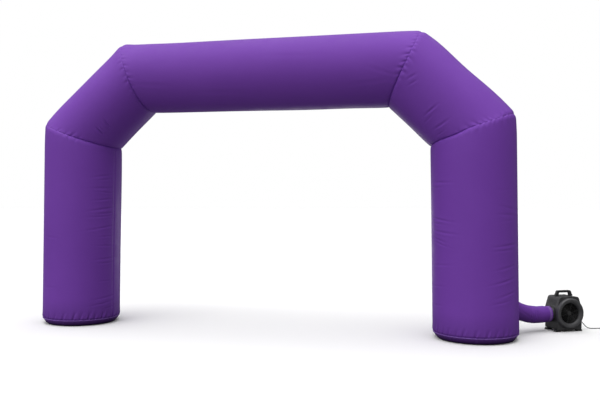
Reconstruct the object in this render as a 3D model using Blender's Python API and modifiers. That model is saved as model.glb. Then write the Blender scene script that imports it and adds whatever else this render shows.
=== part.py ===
"""Inflatable event arch with its electric blower.

Five mitred cloth tubes (two legs, two shoulders and the beam) stand on two sewn feet. A cloth
sleeve on the right leg is strapped over the outlet of a small fan blower, whose lead lies on the
ground. Metres, +Z up. The origin is on the ground in the middle of the footprint, +X runs from
the left leg to the blower and +Y from the front to the back.
"""
from math import acos, atan2, cos, pi, radians, sin, tan

import bmesh
import bpy
from mathutils import Matrix, Vector
from mathutils.geometry import intersect_line_line

# fits and cloth
GAP = 0.0003            # left between pieces that touch
CLOTH = 0.002           # thickness of the coated cloth with its seam tape
FACETS = 36             # sides of a large tube

# the arch, measured from its own middle
ARCH_CENTRE = Vector((-0.3979, -0.2483, 0.0))    # middle of the arch from the middle of the footprint
LEG_RADIUS = 0.4875
SHOULDER_RADIUS = 0.455
BEAM_RADIUS = 0.436
LEG_FOOT_X = 2.524      # leg's axis on the ground
LEG_TOP_X = 2.496       # and at the mitre: the legs lean in a little
LEG_TOP_Z = 2.415
BEAM_END_X = 1.719
BEAM_Z = 3.149
SEAM_DRAW = 0.006       # how far a mitre seam pulls the cloth in
CROWN_DRAW = 0.028      # extra at the outer corner, which air pressure rounds off
MITRE_EASE = 0.15       # length over which a tube takes the seam's shape

# the feet
FOOT_SEAM_Z = 0.072     # piped seam between the leg and its base panel
FOOT_SEAM_RADIUS = 0.476
FOOT_HEM = 0.007        # straight stretch beside the piping
FOOT_EASE = 0.040       # above it the leg swells to its full radius
FOOT_FLAT_RADIUS = 0.420
FOOT_ARC_STEPS = 4
PIPING_RADIUS = 0.005

# the blower, in a frame of its own: +X to its lead, -Y through its air intake
BLOWER_PLACE = Vector((3.578, 0.790, 0.0))
BLOWER_YAW = radians(28.0)
HOUSING_DEPTH = 0.250
HOUSING_TOP = 0.420
HOUSING_BASE = 0.024
INTAKE_Z = 0.222
BEZEL_RADIUS = 0.185
BEZEL_DEPTH = 0.036
THROAT_RADIUS = 0.122
WELL_RADIUS = 0.135
WELL_DEPTH = 0.090
GUARD_RADIUS = 0.132
GUARD_DEPTH = 0.005
OUTLET_Z = 0.205
OUTLET_RADIUS = 0.090
OUTLET_WALL = 0.004
OUTLET_SEAT_X = -0.165  # bottom of the pocket that the outlet is fixed in
OUTLET_TIP_X = -0.275
HANDLE_TOP = 0.488
HANDLE_BAR = 0.026
HANDLE_DEPTH = 0.036

# the sleeve between the right leg and the blower's outlet
SLEEVE_FACETS = 24
SLEEVE_RADIUS = 0.100
SLEEVE_FLARE = 0.030    # extra radius where it is sewn to the leg
SLEEVE_FLARE_LENGTH = 0.20
SLEEVE_LEG_ANGLE = radians(35.0)    # round the leg, from +X to the back
SLEEVE_LEG_Z = 0.335
SLEEVE_END_X = -0.205
CUFF_RADIUS = OUTLET_RADIUS + GAP + CLOTH + 0.0002
STRAP_WIDTH = 0.030

# the lead
LEAD_RADIUS = 0.005
LEAD_EXIT = Vector((0.170, 0.0, 0.105))
RELIEF_LENGTH = 0.045
COIL_CENTRE = Vector((0.549, -0.106, 0.0))
COIL_INNER = 0.045
COIL_OUTER = 0.065
COIL_HEIGHT = 0.030

Y = Vector((0.0, 1.0, 0.0))
Z = Vector((0.0, 0.0, 1.0))

for old in list(bpy.data.objects):
    bpy.data.objects.remove(old, do_unlink=True)

model = bpy.data.collections.new("inflatable_arch_with_blower")
cutters = bpy.data.collections.new("cutters")
for group in (model, cutters):
    bpy.context.scene.collection.children.link(group)


def empty(name, location, parent=None, yaw=0.0):
    frame = bpy.data.objects.new(name, None)
    frame.location = location
    frame.rotation_euler.z = yaw
    frame.parent = parent
    model.objects.link(frame)
    return frame


arch = empty("arch_centre", ARCH_CENTRE)
blower = empty("blower_frame", BLOWER_PLACE, arch, BLOWER_YAW)


# ---------------------------------------------------------------- materials

def material(name, colour, roughness, metallic=0.0):
    surface = bpy.data.materials.new(name)
    surface.use_nodes = True
    shader = surface.node_tree.nodes["Principled BSDF"]
    shader.inputs["Base Color"].default_value = (*colour, 1.0)
    shader.inputs["Roughness"].default_value = roughness
    shader.inputs["Metallic"].default_value = metallic
    return surface


purple_cloth = material("purple_cloth", (0.125, 0.035, 0.300), 0.55)
purple_webbing = material("purple_webbing", (0.140, 0.045, 0.330), 0.70)
charcoal_plastic = material("charcoal_plastic", (0.040, 0.040, 0.042), 0.50)
black_plastic = material("black_plastic", (0.012, 0.012, 0.013), 0.45)
black_rubber = material("black_rubber", (0.016, 0.016, 0.017), 0.75)


# ---------------------------------------------------------------- making

def place(shape, surface, parent=arch, group=model):
    shape.parent = parent
    group.objects.link(shape)
    if surface:
        shape.data.materials.append(surface)
    else:
        shape.hide_render = True
        shape.display_type = "WIRE"
    return shape


def from_bmesh(name, bm, surface, parent=arch, group=model):
    mesh = bpy.data.meshes.new(name)
    bmesh.ops.recalc_face_normals(bm, faces=bm.faces)
    if bm.calc_volume(signed=True) < 0.0:
        bmesh.ops.reverse_faces(bm, faces=bm.faces)
    bm.to_mesh(mesh)
    bm.free()
    mesh.shade_smooth()
    mesh.set_sharp_from_angle(angle=radians(40.0))
    return place(bpy.data.objects.new(name, mesh), surface, parent, group)


def cut(shape, cutter, operation="DIFFERENCE"):
    modifier = shape.modifiers.new("cut", "BOOLEAN")
    modifier.object = cutter
    modifier.operation = operation
    modifier.solver = "EXACT"


def turned(name, profile, steps, surface, parent=arch, group=model):
    """A closed profile of (radius, height) points, outer side top to bottom, spun about Z."""
    mesh = bpy.data.meshes.new(name)
    on_axis = profile[0][0] == 0.0
    last = len(profile) - 1
    edges = [(i, i + 1) for i in range(last)]
    if not on_axis:
        edges.append((last, 0))
    mesh.from_pydata([(radius, 0.0, height) for radius, height in profile], edges, [])
    shape = place(bpy.data.objects.new(name, mesh), surface, parent, group)
    screw = shape.modifiers.new("spin", "SCREW")
    screw.steps = steps
    screw.render_steps = steps
    screw.use_merge_vertices = on_axis
    screw.merge_threshold = 0.0001
    return shape


def lie_along(shape, location, x_axis, z_axis):
    """Turn a shape so that its own X and Z point along these two directions."""
    z_axis = z_axis.normalized()
    x_axis = (x_axis - x_axis.dot(z_axis) * z_axis).normalized()
    turn = Matrix((x_axis, z_axis.cross(x_axis), z_axis)).transposed()
    shape.matrix_local = Matrix.Translation(location) @ turn.to_4x4()
    return shape


def as_mesh(shape):
    """Turn a curve into a welded mesh, so that it can be bevelled or cut."""
    bpy.context.view_layer.update()
    seen = shape.evaluated_get(bpy.context.evaluated_depsgraph_get())
    mesh = bpy.data.meshes.new_from_object(seen)
    bm = bmesh.new()
    bm.from_mesh(mesh)
    bmesh.ops.remove_doubles(bm, verts=bm.verts, dist=0.00001)
    bm.to_mesh(mesh)
    bm.free()
    solid = bpy.data.objects.new(shape.name, mesh)
    solid.parent = shape.parent
    solid.matrix_local = shape.matrix_local.copy()
    shape.users_collection[0].objects.link(solid)
    name = shape.name
    bpy.data.objects.remove(shape, do_unlink=True)
    solid.name = name
    return solid


def outline(name, corners, depth, surface, parent=blower):
    """A flat outline of (x, z, corner radius) rows, filled and thickened along Y."""
    curve = bpy.data.curves.new(name, "CURVE")
    curve.dimensions = "2D"
    curve.fill_mode = "BOTH"
    curve.extrude = depth / 2
    points = rounded(corners)
    spline = curve.splines.new("POLY")
    spline.points.add(len(points) - 1)
    spline.use_cyclic_u = True
    for point, (x, z) in zip(spline.points, points):
        point.co = (x, z, 0.0, 1.0)
    shape = place(bpy.data.objects.new(name, curve), surface, parent)
    shape.rotation_euler.x = radians(90.0)
    return as_mesh(shape)


def rounded(corners, arc_steps=4):
    """Replace each corner of a closed outline by an arc of its own radius."""
    points = []
    for i, (x, z, radius) in enumerate(corners):
        here = Vector((x, z))
        before = (Vector(corners[i - 1][:2]) - here).normalized()
        after = (Vector(corners[(i + 1) % len(corners)][:2]) - here).normalized()
        half = acos(max(-1.0, min(1.0, before.dot(after)))) / 2
        centre = here + (before + after).normalized() * radius / sin(half)
        start = here + before * radius / tan(half) - centre
        finish = here + after * radius / tan(half) - centre
        sweep = (atan2(finish.y, finish.x) - atan2(start.y, start.x) + pi) % (2 * pi) - pi
        for step in range(arc_steps + 1):
            turn = sweep * step / arc_steps
            points.append((centre.x + start.x * cos(turn) - start.y * sin(turn),
                           centre.y + start.x * sin(turn) + start.y * cos(turn)))
    return points


def soften(shape, width, segments=2, angle=50.0):
    bevel = shape.modifiers.new("soften", "BEVEL")
    bevel.width = width
    bevel.segments = segments
    bevel.limit_method = "ANGLE"
    bevel.angle_limit = radians(angle)
    bevel.use_clamp_overlap = True


# ---------------------------------------------------------------- cloth tubes

class Seam:
    """The ring where two tubes are sewn together, in the plane of the mitre."""

    def __init__(self, outer, inner, depth, draw, crown, hem, ease):
        self.centre = (outer + inner) / 2
        self.half = (outer - inner) / 2
        self.depth = depth
        self.draw = draw
        self.crown = crown
        self.hem = hem
        self.ease = ease
        self.normal = self.half.cross(Y).normalized()

    def point(self, angle, skin):
        """A point of the ring, at an angle from the outer corner, skin deep in the cloth."""
        inset = self.draw + self.crown * max(0.0, cos(angle)) ** 3 + skin
        reach = 1.0 - inset / self.half.length
        return self.centre + cos(angle) * reach * self.half + sin(angle) * (self.depth - inset) * Y

    def share(self, distance):
        """How much of the seam's shape a tube has at this distance from it."""
        left = 1.0 - max(0.0, distance - self.hem) / self.ease
        return max(0.0, left) ** 2


def silhouette(start, end, radius):
    """The outer and inner lines of a tube, seen along Y, each as two points."""
    outward = Y.cross(end - start).normalized() * radius
    return [(start + outward, end + outward), (start - outward, end - outward)]


def mitre(first, first_radius, second, second_radius):
    """The seam of two tubes that meet in a bend, each given by the ends of its axis."""
    corners = []
    for a, b in zip(silhouette(*first, first_radius), silhouette(*second, second_radius)):
        corners.append(intersect_line_line(*a, *b)[0])
    depth = (first_radius + second_radius) / 2
    return Seam(*corners, depth, SEAM_DRAW, CROWN_DRAW, 0.0, MITRE_EASE)


def tube_point(tube, angle, end, distance, skin):
    """A point of a tube's skin at a distance from the seam at one of its ends."""
    axis_start, axis_end, radius, seams = tube
    along = (axis_end - axis_start).normalized()
    outward = Y.cross(along)
    seam = seams[end]
    inwards = along if end == 0 else -along
    line = axis_start + (radius - skin) * (cos(angle) * outward + sin(angle) * Y)
    reach = (seam.centre - line).dot(seam.normal) / along.dot(seam.normal)
    straight = line + reach * along
    trim = GAP / 2 / abs(along.dot(seam.normal))
    point = straight.lerp(seam.point(angle, skin), seam.share(distance))
    return point + inwards * (distance + trim)


def cloth_tube(name, tube, stations, side=1):
    """An open cylinder, given its thickness, then laid out between its two seams."""
    bm = bmesh.new()
    bmesh.ops.create_cone(bm, cap_ends=False, segments=FACETS, radius1=1.0, radius2=1.0, depth=1.0)
    lengthwise = [edge for edge in bm.edges if abs(edge.verts[0].co.z - edge.verts[1].co.z) > 0.5]
    bmesh.ops.subdivide_edges(bm, edges=lengthwise, cuts=len(stations) - 2)
    bmesh.ops.solidify(bm, geom=bm.faces[:], thickness=0.1)
    radii = [vert.co.xy.length for vert in bm.verts]
    middle = (min(radii) + max(radii)) / 2
    for vert in bm.verts:
        angle = atan2(vert.co.y, vert.co.x)
        end, distance = stations[round((vert.co.z + 0.5) * (len(stations) - 1))]
        skin = 0.0 if vert.co.xy.length > middle else CLOTH
        vert.co = tube_point(tube, angle, end, distance, skin)
        vert.co.x *= side
    return from_bmesh(name, bm, purple_cloth)


ground = Vector((LEG_FOOT_X, 0.0, 0.0))
knee = Vector((LEG_TOP_X, 0.0, LEG_TOP_Z))
beam_end = Vector((BEAM_END_X, 0.0, BEAM_Z))
beam_far_end = Vector((-BEAM_END_X, 0.0, BEAM_Z))

knee_seam = mitre((ground, knee), LEG_RADIUS, (knee, beam_end), SHOULDER_RADIUS)
beam_seam = mitre((knee, beam_end), SHOULDER_RADIUS, (beam_end, beam_far_end), BEAM_RADIUS)
far_beam_seam = mitre((beam_end, beam_far_end), BEAM_RADIUS,
                      (beam_far_end, Vector((-LEG_TOP_X, 0.0, LEG_TOP_Z))), SHOULDER_RADIUS)
foot_centre = ground + Vector((0.0, 0.0, FOOT_SEAM_Z))
foot_reach = Vector((FOOT_SEAM_RADIUS, 0.0, 0.0))
foot_seam = Seam(foot_centre + foot_reach, foot_centre - foot_reach, FOOT_SEAM_RADIUS,
                 0.0, 0.0, FOOT_HEM, FOOT_EASE)

mitre_stations = [0.0, 0.04, 0.10, MITRE_EASE]
foot_stations = [0.0, FOOT_HEM, 0.020, 0.033, FOOT_HEM + FOOT_EASE]
leg_tube = (ground, knee, LEG_RADIUS, (foot_seam, knee_seam))
shoulder_tube = (knee, beam_end, SHOULDER_RADIUS, (knee_seam, beam_seam))
beam_tube = (beam_end, beam_far_end, BEAM_RADIUS, (beam_seam, far_beam_seam))
from_start = [(0, distance) for distance in mitre_stations]
to_end = [(1, distance) for distance in reversed(mitre_stations)]

legs = {}
for side_name, side in (("left", -1), ("right", 1)):
    stations = [(0, distance) for distance in foot_stations] + to_end
    legs[side_name] = cloth_tube(f"leg_{side_name}", leg_tube, stations, side)
    cloth_tube(f"shoulder_{side_name}", shoulder_tube, from_start + to_end, side)
cloth_tube("beam", beam_tube, from_start + to_end)


# ---------------------------------------------------------------- feet

def foot(side_name, side):
    """The base panel: flat on the ground, rounded up to the seam with the leg."""
    top = FOOT_SEAM_Z - GAP / 2
    turn_height = top - FOOT_HEM
    run = FOOT_SEAM_RADIUS - FOOT_FLAT_RADIUS
    outer = [(FOOT_SEAM_RADIUS, top)]
    inner = [(FOOT_SEAM_RADIUS - CLOTH, top)]
    for step in range(FOOT_ARC_STEPS + 1):
        angle = radians(90.0) * step / FOOT_ARC_STEPS
        outer.append((FOOT_FLAT_RADIUS + run * cos(angle), turn_height * (1.0 - sin(angle))))
        inner.append((FOOT_FLAT_RADIUS + (run - CLOTH) * cos(angle),
                      CLOTH + (turn_height - CLOTH) * (1.0 - sin(angle))))
    profile = [(0.0, CLOTH)] + inner[::-1] + outer + [(0.0, 0.0)]
    base = turned(f"foot_{side_name}", profile, FACETS, purple_cloth)
    base.location = (side * LEG_FOOT_X, 0.0, 0.0)
    piping = turned(f"foot_piping_{side_name}", ring_profile(
        FOOT_SEAM_RADIUS + GAP + PIPING_RADIUS, PIPING_RADIUS, 6), FACETS, purple_webbing)
    piping.location = (side * LEG_FOOT_X, 0.0, FOOT_SEAM_Z)


def ring_profile(centre_radius, radius, sides):
    """A round section, clockwise from its inner side, for a turned ring."""
    return [(centre_radius - radius * cos(2 * pi * i / sides),
             radius * sin(2 * pi * i / sides)) for i in range(sides)]


for side_name, side in (("left", -1), ("right", 1)):
    foot(side_name, side)


# ---------------------------------------------------------------- sleeve

blower_in_arch = Matrix.Translation(BLOWER_PLACE) @ Matrix.Rotation(BLOWER_YAW, 4, "Z")
blower_x = blower_in_arch.to_3x3() @ Vector((1.0, 0.0, 0.0))
leg_outward = Vector((cos(SLEEVE_LEG_ANGLE), sin(SLEEVE_LEG_ANGLE), 0.0))
leg_axis = (knee - ground).normalized()
sleeve_root = ground + Vector((0.0, 0.0, SLEEVE_LEG_Z)) + leg_outward * (LEG_RADIUS - 0.03)
sleeve_tip = blower_in_arch @ Vector((OUTLET_TIP_X - 0.005, 0.0, OUTLET_Z))
sleeve_end = blower_in_arch @ Vector((SLEEVE_END_X, 0.0, OUTLET_Z))
sleeve_handles = [
    sleeve_root,
    sleeve_root + leg_outward * 0.20 - Z * 0.08,
    sleeve_tip - blower_x * 0.20 - Z * 0.015,
    sleeve_tip,
]


def sleeve_centre(share):
    """The sleeve's centre line from the leg to the outlet's tip, and its direction."""
    a, b, c, d = sleeve_handles
    rest = 1.0 - share
    point = rest**3 * a + 3 * rest**2 * share * b + 3 * rest * share**2 * c + share**3 * d
    slope = rest**2 * (b - a) + 2 * rest * share * (c - b) + share**2 * (d - c)
    return point, slope.normalized()


def sleeve():
    """A cloth tube: flared where it is sewn to the leg, drawn in over the outlet."""
    rows = []
    shares = [0.0, 0.07, 0.15, 0.25, 0.40, 0.60, 0.80, 0.92, 1.0]
    for share in shares:
        centre, direction = sleeve_centre(share)
        from_leg = (centre - sleeve_root).length
        flare = SLEEVE_FLARE * max(0.0, 1.0 - from_leg / SLEEVE_FLARE_LENGTH) ** 2
        closing = max(0.0, (share - 0.80) / 0.20) ** 2
        radius = SLEEVE_RADIUS + flare + closing * (CUFF_RADIUS - SLEEVE_RADIUS)
        rows.append((centre, direction, radius))
    rows.append((sleeve_end, blower_x, CUFF_RADIUS))

    bm = bmesh.new()
    bmesh.ops.create_cone(bm, cap_ends=False, segments=SLEEVE_FACETS,
                          radius1=1.0, radius2=1.0, depth=1.0)
    lengthwise = [edge for edge in bm.edges if abs(edge.verts[0].co.z - edge.verts[1].co.z) > 0.5]
    bmesh.ops.subdivide_edges(bm, edges=lengthwise, cuts=len(rows) - 2)
    bmesh.ops.solidify(bm, geom=bm.faces[:], thickness=0.1)
    radii = [vert.co.xy.length for vert in bm.verts]
    middle = (min(radii) + max(radii)) / 2
    for vert in bm.verts:
        angle = atan2(vert.co.y, vert.co.x)
        centre, direction, radius = rows[round((vert.co.z + 0.5) * (len(rows) - 1))]
        upward = (Z - Z.dot(direction) * direction).normalized()
        sideways = direction.cross(upward)
        if vert.co.xy.length < middle:
            radius -= CLOTH
        vert.co = centre + radius * (cos(angle) * upward + sin(angle) * sideways)
    shape = from_bmesh("air_sleeve", bm, purple_cloth)

    leg_form = bmesh.new()
    bmesh.ops.create_cone(leg_form, cap_ends=True, segments=FACETS, radius1=LEG_RADIUS + GAP,
                          radius2=LEG_RADIUS + GAP, depth=0.6)
    leg_cutter = from_bmesh("leg_form", leg_form, None, group=cutters)
    lie_along(leg_cutter, ground + leg_axis * 0.42, Vector((1.0, 0.0, 0.0)), leg_axis)
    cut(shape, leg_cutter)

    port = bmesh.new()
    bmesh.ops.create_cone(port, cap_ends=True, segments=SLEEVE_FACETS, radius1=SLEEVE_RADIUS,
                          radius2=SLEEVE_RADIUS, depth=0.30)
    port_cutter = from_bmesh("air_port", port, None, group=cutters)
    lie_along(port_cutter, sleeve_root, Z, sleeve_centre(0.0)[1])
    cut(legs["right"], port_cutter)


def outlet_strap():
    """The webbing that clamps the sleeve on the outlet."""
    inner = CUFF_RADIUS + GAP
    outer = inner + CLOTH
    profile = [(outer, STRAP_WIDTH), (outer, 0.0), (inner, 0.0), (inner, STRAP_WIDTH)]
    strap = turned("sleeve_strap", profile, SLEEVE_FACETS, purple_webbing, blower)
    lie_along(strap, Vector((SLEEVE_END_X - 0.008, 0.0, OUTLET_Z)), Z, Vector((-1.0, 0.0, 0.0)))


sleeve()
outlet_strap()


# ---------------------------------------------------------------- blower

FRONT = -HOUSING_DEPTH / 2

def housing():
    """The moulded case, round-shouldered, with the intake well and the outlet's pocket."""
    half = [(0.126, HOUSING_TOP, 0.035), (0.184, 0.240, 0.200), (0.170, 0.150, 0.080),
            (0.170, HOUSING_BASE, 0.012)]
    corners = half + [(-x, z, radius) for x, z, radius in reversed(half)]
    case = outline("blower_housing", corners, HOUSING_DEPTH, charcoal_plastic)
    soften(case, 0.016, 2)

    well = bmesh.new()
    bmesh.ops.create_cone(well, cap_ends=True, segments=32, radius1=WELL_RADIUS,
                          radius2=WELL_RADIUS, depth=2 * WELL_DEPTH)
    well_cutter = from_bmesh("intake_well", well, None, blower, cutters)
    lie_along(well_cutter, Vector((0.0, FRONT, INTAKE_Z)), Z, -Y)
    cut(case, well_cutter)

    pocket = bmesh.new()
    pocket_radius = OUTLET_RADIUS + 0.003
    bmesh.ops.create_cone(pocket, cap_ends=True, segments=SLEEVE_FACETS, radius1=pocket_radius,
                          radius2=pocket_radius, depth=0.10)
    pocket_cutter = from_bmesh("outlet_pocket", pocket, None, blower, cutters)
    lie_along(pocket_cutter, Vector((OUTLET_SEAT_X - 0.05, 0.0, OUTLET_Z)), Z,
              Vector((1.0, 0.0, 0.0)))
    cut(case, pocket_cutter)


def bezel():
    """The big round intake ring: a rounded nose that runs in to the throat."""
    nose_radius = (BEZEL_RADIUS + THROAT_RADIUS) / 2 + 0.012
    outer = [(BEZEL_RADIUS - (BEZEL_RADIUS - nose_radius) * (1.0 - cos(radians(a))),
              BEZEL_DEPTH * sin(radians(a))) for a in (90, 65, 40, 18, 0)]
    inner = [(THROAT_RADIUS + (nose_radius - THROAT_RADIUS) * (1.0 - cos(radians(a))),
              (BEZEL_DEPTH - 0.001) * sin(radians(a))) for a in (0, 20, 45, 75)]
    ring = turned("intake_bezel", outer + inner, 32, charcoal_plastic, blower)
    lie_along(ring, Vector((0.0, FRONT - GAP, INTAKE_Z)), Z, -Y)


def guard():
    """The finger guard: flat rings round a hub, welded to six spokes."""
    ring_count = 4
    hub_radius = 0.028
    bar = 0.004
    pitch = (GUARD_RADIUS - bar - hub_radius) / ring_count

    def band(name, outer, inner, group):
        profile = [(outer, GUARD_DEPTH), (outer, 0.0), (inner, 0.0), (inner, GUARD_DEPTH)]
        shape = turned(name, profile, 24, black_plastic if group is model else None,
                       blower, group)
        return lie_along(shape, Vector((0.0, FRONT + GUARD_DEPTH + GAP, INTAKE_Z)), Z, -Y)

    rim = band("intake_guard", GUARD_RADIUS, GUARD_RADIUS - bar, model)
    for i in range(1, ring_count):
        radius = hub_radius + i * pitch
        cut(rim, band(f"guard_ring_{i}", radius + bar / 2, radius - bar / 2, cutters), "UNION")
    for i in range(3):
        spoke = bmesh.new()
        bmesh.ops.create_cube(spoke, size=1.0)
        bmesh.ops.scale(spoke, verts=spoke.verts, vec=(bar * 1.5, GUARD_DEPTH - 0.001,
                                                       2 * GUARD_RADIUS - bar))
        bmesh.ops.rotate(spoke, verts=spoke.verts,
                         matrix=Matrix.Rotation(radians(60.0 * i + 15.0), 3, "Y"))
        shape = from_bmesh(f"guard_spoke_{i}", spoke, None, blower, cutters)
        shape.location = (0.0, FRONT + GUARD_DEPTH / 2 + GAP, INTAKE_Z)
        cut(rim, shape, "UNION")
    hub = bmesh.new()
    bmesh.ops.create_cone(hub, cap_ends=True, segments=24, radius1=hub_radius,
                          radius2=hub_radius, depth=GUARD_DEPTH + 0.002)
    hub_disc = from_bmesh("guard_hub", hub, None, blower, cutters)
    lie_along(hub_disc, Vector((0.0, FRONT + GUARD_DEPTH / 2 + 0.001 + GAP, INTAKE_Z)), Z, -Y)
    cut(rim, hub_disc, "UNION")


def outlet():
    """The round outlet pipe, with a bead at its tip that keeps the strap on."""
    length = OUTLET_SEAT_X - OUTLET_TIP_X
    inner = OUTLET_RADIUS - OUTLET_WALL
    profile = [(OUTLET_RADIUS, length), (OUTLET_RADIUS, GAP), (inner, GAP), (inner, length)]
    pipe = turned("blower_outlet", profile, SLEEVE_FACETS, black_plastic, blower)
    lie_along(pipe, Vector((OUTLET_SEAT_X, 0.0, OUTLET_Z)), Z, Vector((-1.0, 0.0, 0.0)))


def handle():
    """The carrying handle: a bar on two sloping posts."""
    base = HOUSING_TOP + GAP
    gap_top = HANDLE_TOP - HANDLE_BAR
    corners = [(0.121, base, 0.002), (0.089, HANDLE_TOP, 0.018), (-0.089, HANDLE_TOP, 0.018),
               (-0.121, base, 0.002), (-0.077, base, 0.002), (-0.070, gap_top, 0.006),
               (0.070, gap_top, 0.006), (0.077, base, 0.002)]
    bar = outline("blower_handle", corners, HANDLE_DEPTH, black_plastic)
    soften(bar, 0.005, 1, 60.0)


def feet():
    """Four splayed rubber feet under the corners of the case."""
    for name, x, y in (("front_left", -1, -1), ("front_right", 1, -1),
                       ("back_left", -1, 1), ("back_right", 1, 1)):
        bm = bmesh.new()
        bmesh.ops.create_cube(bm, size=1.0)
        height = HOUSING_BASE - GAP
        for vert in bm.verts:
            low = vert.co.z < 0.0
            vert.co.z = 0.0 if low else height
            vert.co.x *= 0.075 if low else 0.060
            vert.co.y *= 0.060 if low else 0.050
        shape = from_bmesh(f"blower_foot_{name}", bm, black_rubber, blower)
        shape.location = (x * 0.147, y * 0.092, 0.0)
        soften(shape, 0.005, 2)


housing()
bezel()
guard()
outlet()
handle()
feet()


# ---------------------------------------------------------------- lead

# from the strain relief down to the ground and along it to the coil, in the blower's frame
lead_route = [
    (0.2155, 0.000, 0.1050), (0.228, 0.000, 0.1047), (0.246, 0.000, 0.0995),
    (0.264, 0.000, 0.0860), (0.281, -0.001, 0.0680), (0.298, -0.003, 0.0490),
    (0.316, -0.006, 0.0310), (0.337, -0.010, 0.0165), (0.362, -0.015, 0.0085),
    (0.390, -0.021, 0.0055),
    (0.420, -0.027, 0.0050), (0.450, -0.032, 0.0050), (0.480, -0.036, 0.0050),
    (0.510, -0.038, 0.0050), (0.535, -0.0371, 0.0050), (0.549, -0.0357, 0.0050),
]


# from the coil's last turn to the plug's neck
tail_route = [
    (0.549, -0.1763, 0.0150), (0.536, -0.1763, 0.0155), (0.522, -0.1766, 0.0170),
    (0.508, -0.1770, 0.0185), (0.495, -0.1770, 0.0190),
]


def lead(name, route):
    curve = bpy.data.curves.new(name, "CURVE")
    curve.dimensions = "3D"
    curve.bevel_depth = LEAD_RADIUS
    curve.bevel_resolution = 2
    curve.use_fill_caps = True
    spline = curve.splines.new("POLY")
    spline.points.add(len(route) - 1)
    for point, spot in zip(spline.points, route):
        point.co = (*spot, 1.0)
    place(bpy.data.objects.new(name, curve), black_rubber, blower)


def strain_relief():
    """The tapered rubber sleeve that holds the lead in the case."""
    start = GAP
    profile = [(0.0, RELIEF_LENGTH), (0.0068, RELIEF_LENGTH), (0.0085, 0.012), (0.0130, 0.008),
               (0.0130, start), (0.0, start)]
    relief = turned("lead_strain_relief", profile, 16, black_rubber, blower)
    lie_along(relief, LEAD_EXIT, Z, Vector((1.0, 0.0, 0.0)))


def coil():
    profile = [(COIL_OUTER, COIL_HEIGHT), (COIL_OUTER, 0.0), (COIL_INNER, 0.0),
               (COIL_INNER, COIL_HEIGHT)]
    turned("lead_coil", profile, 32, black_rubber, blower).location = COIL_CENTRE


def plug():
    """A two-pin plug lying on the ground beside the coil, its neck towards the lead."""
    body_radius = 0.019
    pin_radius = 0.0024
    pin_length = 0.022
    pin_reach = 0.063
    profile = [(0.0, 0.054), (0.0175, 0.054), (body_radius, 0.050), (body_radius, 0.026),
               (0.013, 0.018), (0.0075, 0.0), (0.0, 0.0)]
    neck = Vector(tail_route[-1])
    forward = Vector((-1.0, 0.0, 0.0))
    body = turned("mains_plug", profile, 16, black_rubber, blower)
    lie_along(body, neck + forward * GAP, Z, forward)
    for i, offset in enumerate((-0.0095, 0.0095)):
        pin = bmesh.new()
        bmesh.ops.create_cone(pin, cap_ends=True, segments=8, radius1=pin_radius,
                              radius2=pin_radius, depth=pin_length)
        shape = from_bmesh(f"plug_pin_{i}", pin, None, blower, cutters)
        lie_along(shape, neck + forward * pin_reach + Y * offset, Z, forward)
        cut(body, shape, "UNION")


lead("power_lead", lead_route)
lead("lead_tail", tail_route)
strain_relief()
coil()
plug()
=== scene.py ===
"""An inflatable event arch of purple coated cloth, with the small fan blower that fills it.

Metres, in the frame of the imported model: the ground is z = 0, +X runs from the left leg to the
blower and +Y from the front to the back.
"""
import random
from math import cos, hypot, pi, radians, sin, tan

import bmesh
import bpy
import numpy as np
from mathutils import Matrix, Vector


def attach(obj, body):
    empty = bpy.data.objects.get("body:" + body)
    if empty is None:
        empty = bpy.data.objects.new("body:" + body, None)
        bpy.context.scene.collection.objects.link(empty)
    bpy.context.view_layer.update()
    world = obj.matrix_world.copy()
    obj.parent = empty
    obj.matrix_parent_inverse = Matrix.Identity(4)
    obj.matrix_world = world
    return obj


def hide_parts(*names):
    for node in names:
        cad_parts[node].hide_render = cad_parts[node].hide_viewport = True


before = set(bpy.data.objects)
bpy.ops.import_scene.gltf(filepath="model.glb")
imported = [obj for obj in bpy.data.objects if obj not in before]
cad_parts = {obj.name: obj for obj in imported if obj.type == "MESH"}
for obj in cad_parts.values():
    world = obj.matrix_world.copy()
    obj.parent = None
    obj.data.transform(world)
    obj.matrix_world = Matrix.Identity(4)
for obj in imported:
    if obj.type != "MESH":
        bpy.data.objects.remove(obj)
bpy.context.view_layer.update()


# ------------------------------------ camera
# A visitor's view of the whole arch from about nine metres in front and a little to the right,
# at the height of a person's chest, looking level.


def added(operator, **settings):
    """Add an object with nothing else selected."""
    bpy.ops.object.select_all(action="DESELECT")
    operator(**settings)
    return bpy.context.object


camera = added(bpy.ops.object.camera_add, location=(2.082, -8.829, 1.569),
               rotation=(radians(90.16), radians(-0.07), radians(13.4)))
camera.data.lens = 43.2
camera.data.sensor_width = 36.0
camera.data.clip_end = 400.0
bpy.context.scene.camera = camera


# ------------------------------------ the blower's lead
# Round rubber mains lead, 10 mm thick, from the blower's relief down to the ground. What isn't
# needed is wound into a coil of six strands' thickness, held by a hook-and-loop tie.


def placed(place, turned, axis):
    """A place, turned by some degrees about one of its axes."""
    return Matrix.Translation(place) @ Matrix.Rotation(radians(turned), 4, axis)


LEAD_DIAMETER = 0.01
LEAD_EXIT = Vector((0.2155, 0.0, 0.105))
BLOWER = placed((3.1801, 0.5417, 0.0), 28.0, "Z")

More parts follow.
